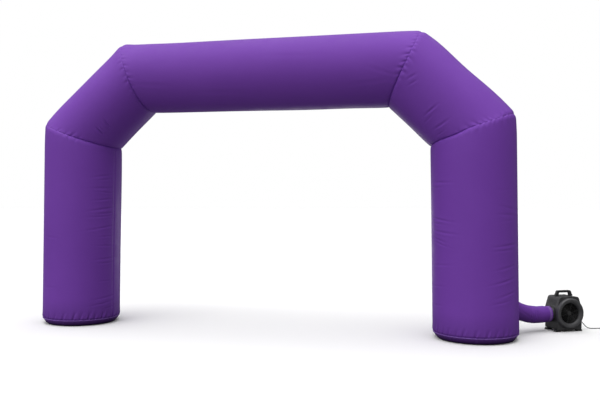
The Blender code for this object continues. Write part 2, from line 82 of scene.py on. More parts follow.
lead_route = [
    (0.2155, 0.0, 0.105), (0.228, 0.0, 0.1047), (0.246, 0.0, 0.0995),
    (0.264, 0.0, 0.086), (0.281, -0.001, 0.068), (0.298, -0.003, 0.049),
    (0.316, -0.006, 0.031), (0.337, -0.01, 0.0165), (0.362, -0.015, 0.0085),
    (0.39, -0.021, 0.0055), (0.42, -0.027, 0.005), (0.45, -0.032, 0.005),
    (0.48, -0.036, 0.005), (0.51, -0.038, 0.005), (0.535, -0.0371, 0.005),
    (0.549, -0.0357, 0.005),
]
tail_route = [
    (0.549, -0.1763, 0.015), (0.536, -0.1763, 0.0155), (0.522, -0.1766, 0.017),
    (0.508, -0.177, 0.0185), (0.495, -0.177, 0.019),
]
COIL_CENTRE = (0.549, -0.106)
# degrees wound since the coil's start, with the strand's distance from the middle and height
coil_winding = [
    (0, 0.0703, 0.005), (70, 0.06, 0.005), (330, 0.06, 0.005), (395, 0.05, 0.005),
    (620, 0.05, 0.005), (690, 0.05, 0.015), (960, 0.05, 0.015), (1030, 0.05, 0.025),
    (1290, 0.05, 0.025), (1360, 0.06, 0.025), (1590, 0.06, 0.025), (1655, 0.06, 0.015),
    (1905, 0.06, 0.015), (1980, 0.0703, 0.015),
]


def smooth(share):
    return share * share * (3.0 - 2.0 * share)


def wound(travelled):
    """A point of the coil, clockwise from its back, by the degrees wound so far."""
    for (low, low_radius, low_z), (high, high_radius, high_z) in zip(coil_winding, coil_winding[1:]):
        if travelled <= high:
            share = smooth((travelled - low) / (high - low))
            radius = low_radius + (high_radius - low_radius) * share
            break
    turn = radians(90.0 - travelled)
    return (COIL_CENTRE[0] + radius * cos(turn), COIL_CENTRE[1] + radius * sin(turn),
            low_z + (high_z - low_z) * share)


COIL_STEP = 12
coil_route = [wound(travelled) for travelled in range(COIL_STEP, coil_winding[-1][0], COIL_STEP)]
lead_points = [BLOWER @ Vector(spot) for spot in lead_route + coil_route + tail_route]

lead_line = bpy.data.curves.new("lead", "CURVE")
lead_line.dimensions = "3D"
lead_line.resolution_u = 4
lead_line.bevel_depth = LEAD_DIAMETER / 2
lead_line.bevel_resolution = 4
lead_line.use_fill_caps = True
strand = lead_line.splines.new("BEZIER")
strand.bezier_points.add(len(lead_points) - 1)
for knot, spot in zip(strand.bezier_points, lead_points):
    knot.co = spot
    knot.handle_left_type = "AUTO"
    knot.handle_right_type = "AUTO"
lead = bpy.data.objects.new("lead", lead_line)
bpy.context.collection.objects.link(lead)


def fill(tree, socket, value):
    """Link a socket, or set its number or colour."""
    if isinstance(value, bpy.types.NodeSocket):
        tree.links.new(value, socket)
    else:
        socket.default_value = (*value, 1.0) if socket.type == "RGBA" else value


def node(tree, kind, output, inputs=(), **settings):
    """Add a shader node, set it, fill its inputs and give back one of its outputs."""
    made = tree.nodes.new("ShaderNode" + kind)
    for name, value in settings.items():
        setattr(made, name, value)
    for name, value in dict(inputs).items():
        fill(tree, made.inputs[name], value)
    return made.outputs[output]


class Finish:
    """A new material, with short ways to add the nodes that its surface is made of."""

    def __init__(self, name, **sockets):
        self.surface = bpy.data.materials.new(name)
        self.surface.use_nodes = True
        self.tree = self.surface.node_tree
        self.shader = self.tree.nodes["Principled BSDF"]
        self.place = node(self.tree, "TexCoord", "Object")
        self.wear(**sockets)

    def wear(self, **sockets):
        """Fill the shader's own sockets."""
        for name, value in sockets.items():
            fill(self.tree, self.shader.inputs[name.replace("_", " ")], value)

    def maths(self, operation, *values):
        return node(self.tree, "Math", 0, enumerate(values), operation=operation)

    def vectors(self, operation, output, *values):
        return node(self.tree, "VectorMath", output, enumerate(values), operation=operation)

    def axis(self, place, axis):
        return node(self.tree, "SeparateXYZ", axis, {"Vector": place})

    def remap(self, value, low=0.0, high=1.0, to_low=0.0, to_high=1.0):
        return node(self.tree, "MapRange", "Result", {
            "Value": value, "From Min": low, "From Max": high, "To Min": to_low, "To Max": to_high})

    def noise(self, scale, detail, distortion=0.0):
        return node(self.tree, "TexNoise", "Fac", {
            "Vector": self.place, "Scale": scale, "Detail": detail, "Distortion": distortion})

    def wave(self, place, scale, direction):
        return node(self.tree, "TexWave", "Fac", {"Vector": place, "Scale": scale},
                    bands_direction=direction)

    def mix(self, share, first, second, data_type="RGBA"):
        return node(self.tree, "Mix", "Result", {"Factor": share, "A": first, "B": second},
                    data_type=data_type)

    def scaled(self, tone, share):
        return node(self.tree, "VectorMath", "Vector", {0: tone, "Scale": share}, operation="SCALE")

    def bump(self, height, strength, distance, **over):
        return node(self.tree, "Bump", "Normal", {
            "Height": height, "Strength": strength, "Distance": distance, **over})


def moulded(name, colour, worn, roughness, grain, depth):
    """Moulded rubber or plastic: a fine grain, uneven gloss and a lighter tone where it is rubbed."""
    finish = Finish(name, Roughness=roughness)
    fine = finish.noise(grain, 3.0)
    broad = finish.noise(14.0, 5.0)
    rubbed = finish.remap(broad, 0.35, 0.75)
    finish.wear(Base_Color=finish.mix(rubbed, colour, worn),
                Roughness=finish.remap(broad, 0.3, 0.7, roughness - 0.07, roughness + 0.08),
                Normal=finish.bump(fine, 0.35, depth))
    return finish


black_rubber = moulded("black_rubber_surface", (0.016, 0.016, 0.017), (0.034, 0.034, 0.036), 0.62,
                       900.0, 0.0004)


def only(piece):
    """Leave this piece as the one that is selected."""
    bpy.ops.object.select_all(action="DESELECT")
    piece.select_set(True)
    bpy.context.view_layer.objects.active = piece


def settle(piece, name, finish, stands_for=(), where=Matrix()):
    """Put a finished piece in its place, with its finish, and let it stand for CAD nodes."""
    piece.matrix_world = where @ piece.matrix_world
    only(piece)
    bpy.ops.object.transform_apply(location=True, rotation=True, scale=True)
    piece.name = name
    piece.data.name = name
    piece.data.materials.clear()
    piece.data.materials.append(finish.surface)
    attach(piece, "root")
    if stands_for:
        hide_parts(*stands_for)
    return piece


settle(lead, "lead", black_rubber, ("power_lead", "lead_coil", "lead_tail"))


# ------------------------------------ relief, plug and tie
# The relief and the plug's body are soft black rubber moulded round the lead, ribbed so that they
# bend, and the plug has two nickel pins. The tie is a strip of hook-and-loop tape.


def edit_all():
    """Go into edit mode with everything selected."""
    bpy.ops.object.mode_set(mode="EDIT")
    bpy.ops.mesh.select_all(action="SELECT")


def heal(threshold=0.00001):
    """Merge doubles, turn all faces outwards and leave edit mode."""
    bpy.ops.mesh.select_all(action="SELECT")
    bpy.ops.mesh.remove_doubles(threshold=threshold)
    bpy.ops.mesh.normals_make_consistent(inside=False)
    bpy.ops.object.mode_set(mode="OBJECT")


def shade(sharp_from):
    """Smooth the shading, but for edges that turn by more than some degrees."""
    bpy.ops.object.shade_smooth_by_angle(angle=radians(sharp_from))


def spun(rings, sides=48, capped=True):
    """Extrude a circle from ring to ring of (radius, height). A last ring of no radius is closed
    to a point, and a last ring that is the first again closes the section."""
    radius, height = rings[0]
    piece = added(bpy.ops.mesh.primitive_circle_add, vertices=sides, radius=1.0)
    piece.data.transform(Matrix.Translation((0.0, 0.0, height))
                         @ Matrix.Diagonal((radius, radius, 1.0, 1.0)))
    edit_all()
    if capped and rings[0] != rings[-1]:
        bpy.ops.mesh.edge_face_add()
    for next_radius, next_height in rings[1:]:
        bpy.ops.mesh.extrude_region_move(
            TRANSFORM_OT_translate={"value": (0.0, 0.0, next_height - height)})
        if next_radius == 0.0:
            bpy.ops.mesh.merge(type="CENTER")
            break
        ratio = next_radius / radius
        bpy.ops.transform.resize(value=(ratio, ratio, 1.0), center_override=(0.0, 0.0, next_height))
        radius, height = next_radius, next_height
    heal()
    shade(35.0)
    return piece


relief_rings = [(0.013, 0.0003), (0.0138, 0.0016), (0.0138, 0.0064), (0.013, 0.008)]
for rib in range(6):
    height = 0.0095 + rib * 0.0055
    waist = 0.0088 - rib * 0.00035
    relief_rings += [(waist - 0.0012, height), (waist - 0.0012, height + 0.0018),
                     (waist, height + 0.0023), (waist, height + 0.0046)]
relief_rings += [(0.0058, 0.045), (0.0, 0.045)]
settle(spun(relief_rings, 32), "strain_relief_ribbed", black_rubber,
       ("lead_strain_relief",), BLOWER @ placed((0.17, 0.0, LEAD_EXIT.z), 90.0, "Y"))

PLUG_TURN = placed(Vector(tail_route[-1]) - Vector((0.0003, 0.0, 0.0)), -90.0, "Y")
plug_rings = [(0.0058, 0.0)]
for rib in range(3):
    height = 0.001 + rib * 0.005
    waist = 0.0076 + rib * 0.0014
    plug_rings += [(waist, height), (waist, height + 0.0028), (waist - 0.0012, height + 0.0034),
                   (waist - 0.0012, height + 0.0044)]
plug_rings += [(0.013, 0.018), (0.0172, 0.023), (0.019, 0.028), (0.019, 0.036),
               (0.0178, 0.037), (0.0178, 0.044), (0.019, 0.045), (0.019, 0.051),
               (0.0182, 0.0532), (0.017, 0.054), (0.0, 0.054)]
plug = settle(spun(plug_rings, 40), "plug_body", black_rubber, ("mains_plug",),
              BLOWER @ PLUG_TURN)

nickel = Finish("plug_nickel", Roughness=0.25, Metallic=1.0, Base_Color=(0.62, 0.6, 0.56))
nickel.wear(Roughness=nickel.remap(nickel.noise(600.0, 4.0), to_low=0.16, to_high=0.38))
pin_rings = [(0.0024, 0.053), (0.0024, 0.0726), (0.0018, 0.0738), (0.0008, 0.0742), (0.0, 0.0743)]


def copies_of(piece, count):
    """A piece and its copies, each with its own mesh."""
    pieces = [piece]
    while len(pieces) < count:
        twin = piece.copy()
        twin.data = piece.data.copy()
        bpy.context.collection.objects.link(twin)
        pieces.append(twin)
    return pieces


pins = copies_of(spun(pin_rings, 20), 2)
for pin, side_name, offset in zip(pins, ("left", "right"), (-0.0095, 0.0095)):
    settle(pin, f"plug_pin_{side_name}", nickel, (),
           BLOWER @ Matrix.Translation((0.0, offset, 0.0)) @ PLUG_TURN)


def webbing(name, colour, worn, pitch):
    """Woven tape: a fine herringbone of raised yarns, a little uneven in tone."""
    tape = Finish(name, Roughness=0.72, Specular_IOR_Level=0.2)
    yarns = tape.maths("MAXIMUM", tape.wave(tape.place, pitch, "DIAGONAL"),
                       tape.wave(tape.place, pitch * 0.6, "Z"))
    tone = tape.mix(tape.noise(60.0, 4.0), colour, worn)
    tape.wear(Base_Color=tape.scaled(tone, tape.remap(yarns, to_low=0.72, to_high=1.08)),
              Normal=tape.bump(yarns, 0.6, 0.0005))
    return tape


black_tape = webbing("hook_and_loop_tape", (0.014, 0.014, 0.016), (0.03, 0.03, 0.032), 500.0)


def walled(piece, thickness, offset=0.0):
    """Give a sheet of cloth or tape its thickness."""
    only(piece)
    wall = piece.modifiers.new("wall", "SOLIDIFY")
    wall.thickness = thickness
    wall.offset = offset
    bpy.ops.object.modifier_apply(modifier="wall")
    shade(50.0)


def tape_strip(columns, rows, lay, thickness):
    """A strip of tape, each point laid by its share of the length and its place across."""
    strip = added(bpy.ops.mesh.primitive_grid_add, x_subdivisions=columns, y_subdivisions=rows, size=1.0)
    for vert in strip.data.vertices:
        vert.co = lay(vert.co.x + 0.5, vert.co.y)
    walled(strip, thickness)
    return strip


TIE_WIDTH = 0.018


def round_strands(share, across):
    """Once round the six strands, with the tape's end over its start on top."""
    turn = 2.0 * pi * 1.12 * share + radians(70.0)
    lap = 0.0014 * max(0.0, share - 0.86) / 0.14
    bulge = (abs(cos(turn)) ** 4 + abs(sin(turn)) ** 4) ** -0.25
    return (0.055 + (0.0108 + lap) * cos(turn) * bulge, across * TIE_WIDTH,
            0.0158 + (0.015 + lap) * sin(turn) * bulge)


tie = settle(tape_strip(56, 4, round_strands, 0.0011), "coil_tie", black_tape, (),
             BLOWER @ placed((*COIL_CENTRE, 0.0), -20.0, "Z"))


# ------------------------------------ floor and light
# A plain white studio floor that runs out of sight, under wide soft light from overhead and from
# the front on the left, with a soft box behind the opening and one over each shoulder.

scene = bpy.context.scene
scene.view_settings.view_transform = "Standard"

floor = added(bpy.ops.mesh.primitive_circle_add, vertices=96, radius=150.0, fill_type="NGON")
floor.name = "studio_floor"
floor_white = Finish("studio_floor", Roughness=0.9, Base_Color=(0.18, 0.18, 0.18))
floor_look = node(floor_white.tree, "MixShader", 0, {
    0: node(floor_white.tree, "LightPath", "Is Camera Ray"), 1: floor_white.shader.outputs[0],
    2: node(floor_white.tree, "BsdfDiffuse", 0, {"Color": (0.95, 0.95, 0.95)})})
fill(floor_white.tree, floor_white.tree.nodes["Material Output"].inputs["Surface"], floor_look)
floor.data.materials.append(floor_white.surface)

studio = bpy.data.worlds.new("studio")
scene.world = studio
studio.use_nodes = True
glow = studio.node_tree.nodes["Background"]
glow.inputs["Color"].default_value = (1.0, 1.0, 1.0, 1.0)
fill(studio.node_tree, glow.inputs["Strength"], node(studio.node_tree, "MapRange", "Result", {
    "Value": node(studio.node_tree, "LightPath", "Is Camera Ray"), "To Min": 0.165}))


def soft_light(kind, place, aim, energy):
    turn = (Vector(place) - Vector(aim)).to_track_quat("Z", "Y").to_euler()
    light = added(bpy.ops.object.light_add, type=kind, location=place, rotation=turn)
    light.data.energy = energy
    return light


for direction, strength, spread in (((-0.1, -0.14, 1.0), 1.3, 60.0),
                                    ((-0.1, -0.14, 1.0), 1.55, 130.0),
                                    ((-0.55, -1.0, 0.4), 0.78, 70.0)):
    sun = soft_light("SUN", direction, (0.0, 0.0, 0.0), strength)
    sun.data.angle = radians(spread)
for place, aim, width, height, energy in (
        ((-0.4, 4.2, 0.9), (-0.4, 0.0, 0.9), 3.0, 1.6, 34.0),
        ((2.8, -1.2, 4.9), (1.9, -0.2, 3.1), 1.6, 1.6, 9.0),
        ((-3.6, -1.2, 4.9), (-2.7, -0.2, 3.1), 1.6, 1.6, 8.0)):
    soft_box = soft_light("AREA", place, aim, energy)
    soft_box.data.shape = "RECTANGLE"
    soft_box.data.size = width
    soft_box.data.size_y = height
    soft_box.visible_camera = False


# ------------------------------------ cloth tubes
# Legs, shoulders and beam are tubes of coated polyester cloth, each rolled from a flat panel with
# a lapped, double-stitched seam along its inner side, and sewn to the next in a plain mitre. The
# air inside keeps them tight, so only the seams draw the cloth into puckers and short folds.

ARCH_CENTRE = np.array((-0.3979, -0.2483, 0.0))
CLOTH = 0.002
LEG_RADIUS = 0.4875
SHOULDER_RADIUS = 0.455
BEAM_RADIUS = 0.436
SEAM_DRAW = 0.002
CROWN_DRAW = 0.032
FOOT_SEAM_Z = 0.072
FOOT_SEAM_RADIUS = 0.476
FOOT_HEM = 0.007
FOOT_EASE = 0.024
BACKWARD = np.array((0.0, 1.0, 0.0))
# the share of a mitre ring's pull on the cloth, and how far it reaches
MITRE_PULL = ((0.4, 0.3), (0.6, 0.06))

ground = np.array((2.524, 0.0, 0.0))
knee = np.array((2.496, 0.0, 2.415))
beam_end = np.array((1.719, 0.0, 3.149))
mirrored = np.array((-1.0, 1.0, 1.0))


def unit(vector):
    return vector / np.linalg.norm(vector)


class Seam:
    """The ring where two tubes are sewn together."""

    def __init__(self, outer, inner, depth, draw=0.0, crown=0.0):
        self.centre = (outer + inner) / 2
        self.half = (outer - inner) / 2
        self.depth = depth
        self.draw = draw
        self.crown = crown
        self.normal = unit(np.cross(self.half, BACKWARD))

    def ring(self, angle):
        """Points of the ring, by the angle from its outer corner."""
        inset = self.draw + self.crown * np.maximum(0.0, np.cos(angle)) ** 4
        reach = 1.0 - inset / np.linalg.norm(self.half)
        return (self.centre + np.outer(np.cos(angle) * reach, self.half)
                + np.outer(np.sin(angle) * (self.depth - inset), BACKWARD))

    def pull(self, gap):
        """How far the cloth follows the ring, by its distance from it."""
        if not self.crown:
            return np.clip(1.0 - (gap - FOOT_HEM) / FOOT_EASE, 0.0, 1.0) ** 2
        return sum(share * np.clip(1.0 - gap / reach, 0.0, 1.0) ** 2 for share, reach in MITRE_PULL)


class Tube:
    """A cloth tube between two seams, by the ends of its axis and its radius."""

    def __init__(self, start, end, radius):
        self.start = start
        self.along = unit(end - start)
        self.outward = np.cross(BACKWARD, self.along)
        self.radius = radius
        self.seams = []

    def side_line(self, side):
        return self.start + side * self.radius * self.outward, self.along


def mitre(first, second):
    """The seam of two tubes that meet in a bend, where their side lines cross."""
    corners = []
    for side in (1.0, -1.0):
        (a, a_way), (b, b_way) = first.side_line(side), second.side_line(side)
        crossed = a_way[0] * b_way[2] - a_way[2] * b_way[0]
        share = ((b[0] - a[0]) * b_way[2] - (b[2] - a[2]) * b_way[0]) / crossed
        corners.append(a + share * a_way)
    seam = Seam(*corners, (first.radius + second.radius) / 2, SEAM_DRAW, CROWN_DRAW)
    first.seams.append(seam)
    second.seams.append(seam)


foot_reach = np.array((FOOT_SEAM_RADIUS, 0.0, 0.0))
foot_centre = ground + np.array((0.0, 0.0, FOOT_SEAM_Z))
leg_tube = Tube(ground, knee, LEG_RADIUS)
shoulder_tube = Tube(knee, beam_end, SHOULDER_RADIUS)
beam_tube = Tube(beam_end, beam_end * mirrored, BEAM_RADIUS)
far_shoulder_tube = Tube(beam_end * mirrored, knee * mirrored, SHOULDER_RADIUS)
leg_tube.seams.append(Seam(foot_centre + foot_reach, foot_centre - foot_reach, FOOT_SEAM_RADIUS))
mitre(leg_tube, shoulder_tube)
mitre(shoulder_tube, beam_tube)
mitre(beam_tube, far_shoulder_tube)


# the air never fills an arch evenly: a place, how far round it, and how far the cloth is off there,
# to the right and upwards
UNEVEN = [
    (-2.75, 0.0, 2.6, 0.52, 0.0, 0.044), (-1.85, 0.0, 2.45, 0.34, 0.0, 0.016),
    (-1.75, -0.4, 3.2, 0.38, 0.048, 0.0), (-1.9, -0.3, 3.4, 0.22, 0.014, -0.002),
    (-1.9, 0.0, 3.56, 0.15, 0.006, 0.028), (-1.6, 0.0, 3.56, 0.3, 0.0, 0.008),
    (1.75, -0.5, 3.25, 0.55, 0.04, 0.0), (2.19, 0.0, 3.43, 0.3, 0.01, 0.012),
    (2.74, 0.0, 2.9, 0.32, 0.009, 0.01), (2.26, -0.5, 2.41, 0.17, 0.0, -0.032),
    (2.64, -0.5, 2.55, 0.24, 0.0, -0.02), (0.6, 0.0, 2.7, 0.7, 0.0, -0.012),
    (1.5, 0.0, 2.7, 0.38, 0.0, -0.014), (2.0, 0.0, 2.28, 0.32, -0.002, -0.025),
    (-2.04, 0.0, 1.9, 0.55, 0.007, 0.0),
]
UNEVEN_DEPTH = 0.36
MM = 0.001


def groove(across, along, width, reach):
    """A soft valley with a low ridge on each side, fading out along its length."""
    share = across / width
    return (2.0 * share ** 2 - 1.0) * np.exp(-share ** 2) * np.exp(-(along / reach) ** 2)


def apart(angle, from_angle):
    """How far round an angle is from another, between -pi and pi."""
    return (angle - from_angle + pi) % (2.0 * pi) - pi


def body_folds(angle, distance, radius, folds):
    """Folds out on the cloth, each by (degrees round, place along the tube's axis, slant, length,
    width, depth), in degrees and millimetres."""
    height = np.zeros_like(distance)
    for around, up, slant, length, width, depth in folds:
        side = apart(angle, radians(around)) * radius
        rise = distance - up * MM
        along = side * cos(radians(slant)) + rise * sin(radians(slant))
        across = rise * cos(radians(slant)) - side * sin(radians(slant))
        height += depth * MM * groove(across, along, width * MM, length * MM / 2.0)
    return height


SEAM_FLAT = 0.008


def seam_folds(angle, gap, radius, folds):
    """Puckers that run from a seam into the cloth, each by (degrees round, reach, width, depth,
    lean), in degrees and millimetres."""
    height = np.zeros_like(gap)
    for around, reach, width, depth, lean in folds:
        side = apart(angle, radians(around)) * radius - lean * gap
        spread = gap / (reach * MM)
        fade = np.minimum(1.0, gap / SEAM_FLAT) * np.exp(-spread ** 2)
        height += depth * MM * fade * groove(side, 0.0, width * MM * (1.0 + 0.6 * spread), 1.0)
    return height


def gathers(seed, pitch, radius, reach, width, depth, weight=None):
    """Puckers all round a seam, irregular in place, length and depth, as a needle draws them. The
    reach, width and depth are in millimetres."""
    chance = random.Random(seed)
    folds = []
    place = 0.0
    while place < 2.0 * pi * radius - pitch / 2.0:
        around = place / radius
        share = chance.uniform(0.35, 1.0) * (1.0 if weight is None else weight(around))
        if share > 0.05:
            folds.append((around * 180.0 / pi, reach * chance.uniform(0.6, 1.3) * (0.5 + share / 2.0),
                          width * chance.uniform(0.8, 1.25), depth * share, chance.uniform(-0.25, 0.25)))
        place += pitch * chance.uniform(0.65, 1.35)
    return folds


CREASE_REACH = 0.011
OUTER_CREASE = 0.0055
INNER_CREASE = 0.0115
INNER_CORNER = radians(166.0)
NIP_REACH = 0.012


def pinched(angle):
    """How deep a mitre seam lies in its crease: all but flush on the outer half, deep on the
    inner half, and flush again where the inner corner turns."""
    inner = smooth(np.clip((0.3 - np.cos(angle)) / 0.75, 0.0, 1.0))
    turning = 1.0 - np.exp(-(apart(angle, INNER_CORNER) / 0.42) ** 2)
    return OUTER_CREASE * np.clip(1.4 - 1.4 * np.cos(angle), 0.0, 1.0) + INNER_CREASE * inner * turning


def nip(angle, gap, around, spread, depth):
    """A short stretch of a mitre seam that is drawn in, by degrees round and its half length."""
    side = apart(angle, radians(around)) / radians(spread)
    return -depth * np.exp(-side ** 2 - gap / NIP_REACH)


def cloth_maps(mesh, cloth, hem):
    """The cloth's own maps, in metres: where it lies in its panel, and how far from its hem."""
    loops = np.empty(len(mesh.loops), int)
    mesh.loops.foreach_get("vertex_index", loops)
    mesh.uv_layers[0].name = "cloth"
    mesh.uv_layers[0].data.foreach_set("uv", np.stack(cloth, axis=1)[loops].ravel())
    mesh.uv_layers.new(name="hem").data.foreach_set("uv", np.stack(hem, axis=1)[loops].ravel())


def points_of(mesh):
    points = np.empty(len(mesh.vertices) * 3)
    mesh.vertices.foreach_get("co", points)
    return points.reshape(-1, 3)


def sew(piece):
    """Close a rolled panel along its seam and give the cloth its thickness."""
    only(piece)
    edit_all()
    heal(0.00005)
    walled(piece, CLOTH, -1.0)


def choose(piece, kind, wanted):
    """In edit mode, select the verts or edges that are wanted."""
    bpy.ops.mesh.select_all(action="DESELECT")
    bm = bmesh.from_edit_mesh(piece.data)
    for part in getattr(bm, kind):
        part.select_set(wanted(part))
    bmesh.update_edit_mesh(piece.data)


def spans(edge, axis):
    """How far an edge runs along an axis."""
    first, second = edge.verts
    return abs(first.co[axis] - second.co[axis])


def sewn_tube(tube, columns, rows, seam_degrees, crowd, fine_ends, relief, side):
    """Roll a flat grid into a tube between its seams, with the relief of its folds, and sew it.
    Its columns and rows crowd towards the lengthwise seam and the ends by these shares."""
    piece = added(bpy.ops.mesh.primitive_grid_add, x_subdivisions=columns, y_subdivisions=rows, size=2.0)
    for low, high in fine_ends:
        bpy.ops.object.mode_set(mode="EDIT")
        choose(piece, "edges",
               lambda edge: spans(edge, 1) < 0.0001 and low <= edge.verts[0].co.y <= high)
        bpy.ops.mesh.subdivide(number_cuts=2)
        bpy.ops.object.mode_set(mode="OBJECT")

    flat = points_of(piece.data)
    around, share = flat[:, 0], (flat[:, 1] + 1.0) / 2.0
    share = share * (1.0 - crowd[1]) + crowd[1] * (1.0 - np.cos(pi * share)) / 2.0
    angle = radians(seam_degrees) + pi * (around + crowd[0] * np.sin(pi * around) / pi + 1.0)
    radial = np.outer(np.cos(angle), tube.outward) + np.outer(np.sin(angle), BACKWARD)
    line = tube.start + tube.radius * radial
    reach = [((seam.centre - line) @ seam.normal) / (tube.along @ seam.normal) for seam in tube.seams]
    length = reach[1] - reach[0]
    mean = length.mean()
    distance = share * mean + (length - mean) * smooth(share)
    gaps = (distance, length - distance)
    point = line + np.outer(reach[0] + distance, tube.along)
    height = relief(angle, reach[0] + distance, *gaps)
    for seam, at, gap in zip(tube.seams, reach, gaps):
        ring = seam.ring(angle)
        point += seam.pull(gap)[:, None] * (ring - line - np.outer(at, tube.along))
        inwards = seam.centre - ring
        inwards /= np.linalg.norm(inwards, axis=1)[:, None]
        if seam.crown:
            point += (pinched(angle) * np.exp(-gap / CREASE_REACH))[:, None] * inwards
    point += height[:, None] * radial
    point = point * np.array((side, 1.0, 1.0))
    for x, y, z, spread, right, up in UNEVEN:
        near = np.exp(-(((point - (x, y, z)) / (spread, UNEVEN_DEPTH, spread)) ** 2).sum(axis=1))
        point += np.outer(near, (right, 0.0, up))
    point += ARCH_CENTRE
    piece.data.vertices.foreach_set("co", point.ravel())

    arc = (angle - radians(seam_degrees)) * tube.radius
    cloth_maps(piece.data, (arc, distance), (arc, np.minimum(*gaps)))
    sew(piece)
    flat_size = (2.0 * pi * tube.radius, float(length.max()))
    return piece, flat_size, flat_size[0] * float(mean)


def coated_cloth(name, colour, shadow_colour):
    """Polyester cloth with a satin coating: a fine plain weave, stitched hems and faint creases, and
    painted shade that darkens it near the ground.
    """
    cloth = Finish(name, Roughness=0.5, Specular_IOR_Level=0.12)
    panel = node(cloth.tree, "UVMap", "UV", uv_map="cloth")
    hem = node(cloth.tree, "UVMap", "UV", uv_map="hem")

    def stitches(across, along, *rows):
        """Rows of stitches at these distances across the cloth, each a dash and a space."""
        lines = [cloth.maths("COMPARE", across, row, 0.0008) for row in rows]
        dash = cloth.maths("LESS_THAN", cloth.maths("PINGPONG", along, 0.0042), 0.0029)
        return cloth.maths("MULTIPLY", cloth.maths("ADD", *lines), dash)

    over = node(cloth.tree, "TexChecker", "Fac", {"Vector": panel, "Scale": 1273.0})
    weave = cloth.mix(over, cloth.wave(panel, 200.0, "X"), cloth.wave(panel, 200.0, "Y"), "FLOAT")
    across = cloth.axis(panel, "X")
    threads = cloth.maths("MAXIMUM", stitches(cloth.axis(hem, "Y"), cloth.axis(hem, "X"), 0.007, 0.013),
                          stitches(across, cloth.axis(panel, "Y"), 0.004, 0.018))
    lap_edge = cloth.remap(across, 0.0215, 0.0225, 1.0, 0.0)

    cloudy = cloth.remap(cloth.noise(1.3, 3.0), 0.3, 0.7)
    height = cloth.axis(cloth.place, "Z")
    # painted shade: the cloth darkens gently below about a third of a metre and strongly in the last few
    # centimetres above the ground, where the floor's shade falls
    painted_low_shade = cloth.remap(height, high=0.34, to_low=0.66)
    painted_ground_shade = cloth.remap(height, high=0.074, to_low=0.05)
    weave_and_painted_shade = cloth.maths("MULTIPLY", cloth.remap(weave, to_low=0.9, to_high=1.05),
                       cloth.maths("MULTIPLY", painted_low_shade, painted_ground_shade))
    woven = cloth.scaled(cloth.mix(cloudy, shadow_colour, colour), weave_and_painted_shade)
    creases = cloth.noise(7.0, 4.0, 0.6)
    crinkle = cloth.bump(creases, 0.25, 0.004)
    lapped = cloth.bump(lap_edge, 0.6, 0.0012, Normal=crinkle)
    stitched = cloth.bump(threads, 0.6, 0.0006, Normal=lapped)
    cloth.wear(Base_Color=cloth.mix(threads, woven, (0.25, 0.1, 0.52)),
               Roughness=cloth.remap(creases, 0.3, 0.7, 0.44, 0.56),
               Normal=cloth.bump(weave, 0.3, 0.0002, Normal=stitched))
    return cloth


purple_cloth = coated_cloth("coated_purple_cloth", (0.208, 0.064, 0.46), (0.192, 0.058, 0.43))

LEG_SEAM = -171.5
left_leg_folds = [
    # across the inner half of the front, running to the lengthwise seam
    (-150, 1900, -8, 300, 18, 3), (-156, 1855, -6, 220, 16, 2.4), (-148, 1745, -2, 340, 20, 2.4),
    (-158, 1690, 3, 200, 15, 2.4), (-152, 1600, -5, 280, 16, 3.5), (-150, 1480, -8, 320, 18, 5),
    (-156, 1425, -6, 240, 15, 4), (-146, 1385, -4, 340, 18, 2.6), (-138, 1225, -9, 300, 19, 2.2),
    (-156, 1250, -9, 220, 16, 2.8), (-156, 1130, -2, 220, 15, 2.5), (-155, 1010, 2, 240, 16, 2.5),
    (-154, 845, -4, 300, 17, 2.7), (-157, 790, -2, 220, 15, 2), (-155, 560, 0, 200, 16, 1.8),
    (-156, 350, -7, 300, 18, 2.6), (-150, 275, -8, 340, 19, 2.2), (-162, 215, -10, 180, 15, 2.2),
    (-64, 1120, 4, 260, 20, 1.8), (-60, 480, -3, 300, 22, 1.5),
]
right_leg_folds = [
    # from the inner side of the front
    (-137, 1795, -2, 260, 18, 3.4), (-150, 1735, 4, 200, 15, 2.2), (-140, 1375, -8, 340, 17, 4.5),
    (-150, 1330, -6, 220, 15, 3), (-138, 1235, -6, 340, 18, 4.5), (-146, 1150, -12, 280, 16, 4),
    (-137, 1095, -14, 240, 15, 3), (-145, 860, 3, 340, 18, 2.5), (-150, 620, 2, 240, 18, 1.8),
    (-152, 400, 3, 220, 18, 1.8),
    # from the outer side
    (-46, 1700, 0, 260, 17, 2), (-38, 1500, -10, 320, 18, 2.9), (-44, 1425, -4, 260, 17, 2.6),
    (-38, 1360, 3, 220, 16, 2), (-42, 1085, 4, 340, 19, 3.1), (-50, 1030, 2, 240, 16, 2.4),
    (-44, 840, 9, 320, 18, 2.8), (-48, 690, 11, 340, 19, 3.4), (-42, 545, 12, 300, 18, 3.1),
    (-52, 460, 9, 240, 17, 2.4),
]


def outer_back(around):
    """The weight of chance puckers: on the back and the top, not the front, which has its own."""
    if radians(-128.0) < apart(around, 0.0) < radians(14.0):
        return 0.0
    return 0.3 + 0.7 * max(0.0, cos(around - 0.5)) ** 0.6


# the gathers of the foot seam lean as they come from the machine's feed, the left foot's a little
# deeper than the right one's
foot_gathers = {side: [(around, reach, 17, depth * firm, 0.3 * side) for around, reach, depth in (
    (-5, 60, 10), (-18, 80, 12), (-30, 70, 13), (-43, 90, 11), (-52, 60, 14), (-64, 85, 12),
    (-76, 80, 15), (-91, 85, 15), (-107, 95, 16), (-117, 70, 12), (-129, 85, 14), (-138, 70, 13),
    (-150, 90, 15), (-158, 70, 12), (-170, 85, 14), (178, 70, 12), (166, 85, 14), (151, 80, 12),
    (138, 70, 14), (127, 90, 12), (113, 70, 14), (101, 80, 12), (88, 90, 14), (73, 70, 12),
    (62, 85, 14), (50, 70, 11), (36, 90, 14), (24, 70, 12), (10, 85, 13))]
    for side, firm in ((-1, 0.65), (1, 0.6))}
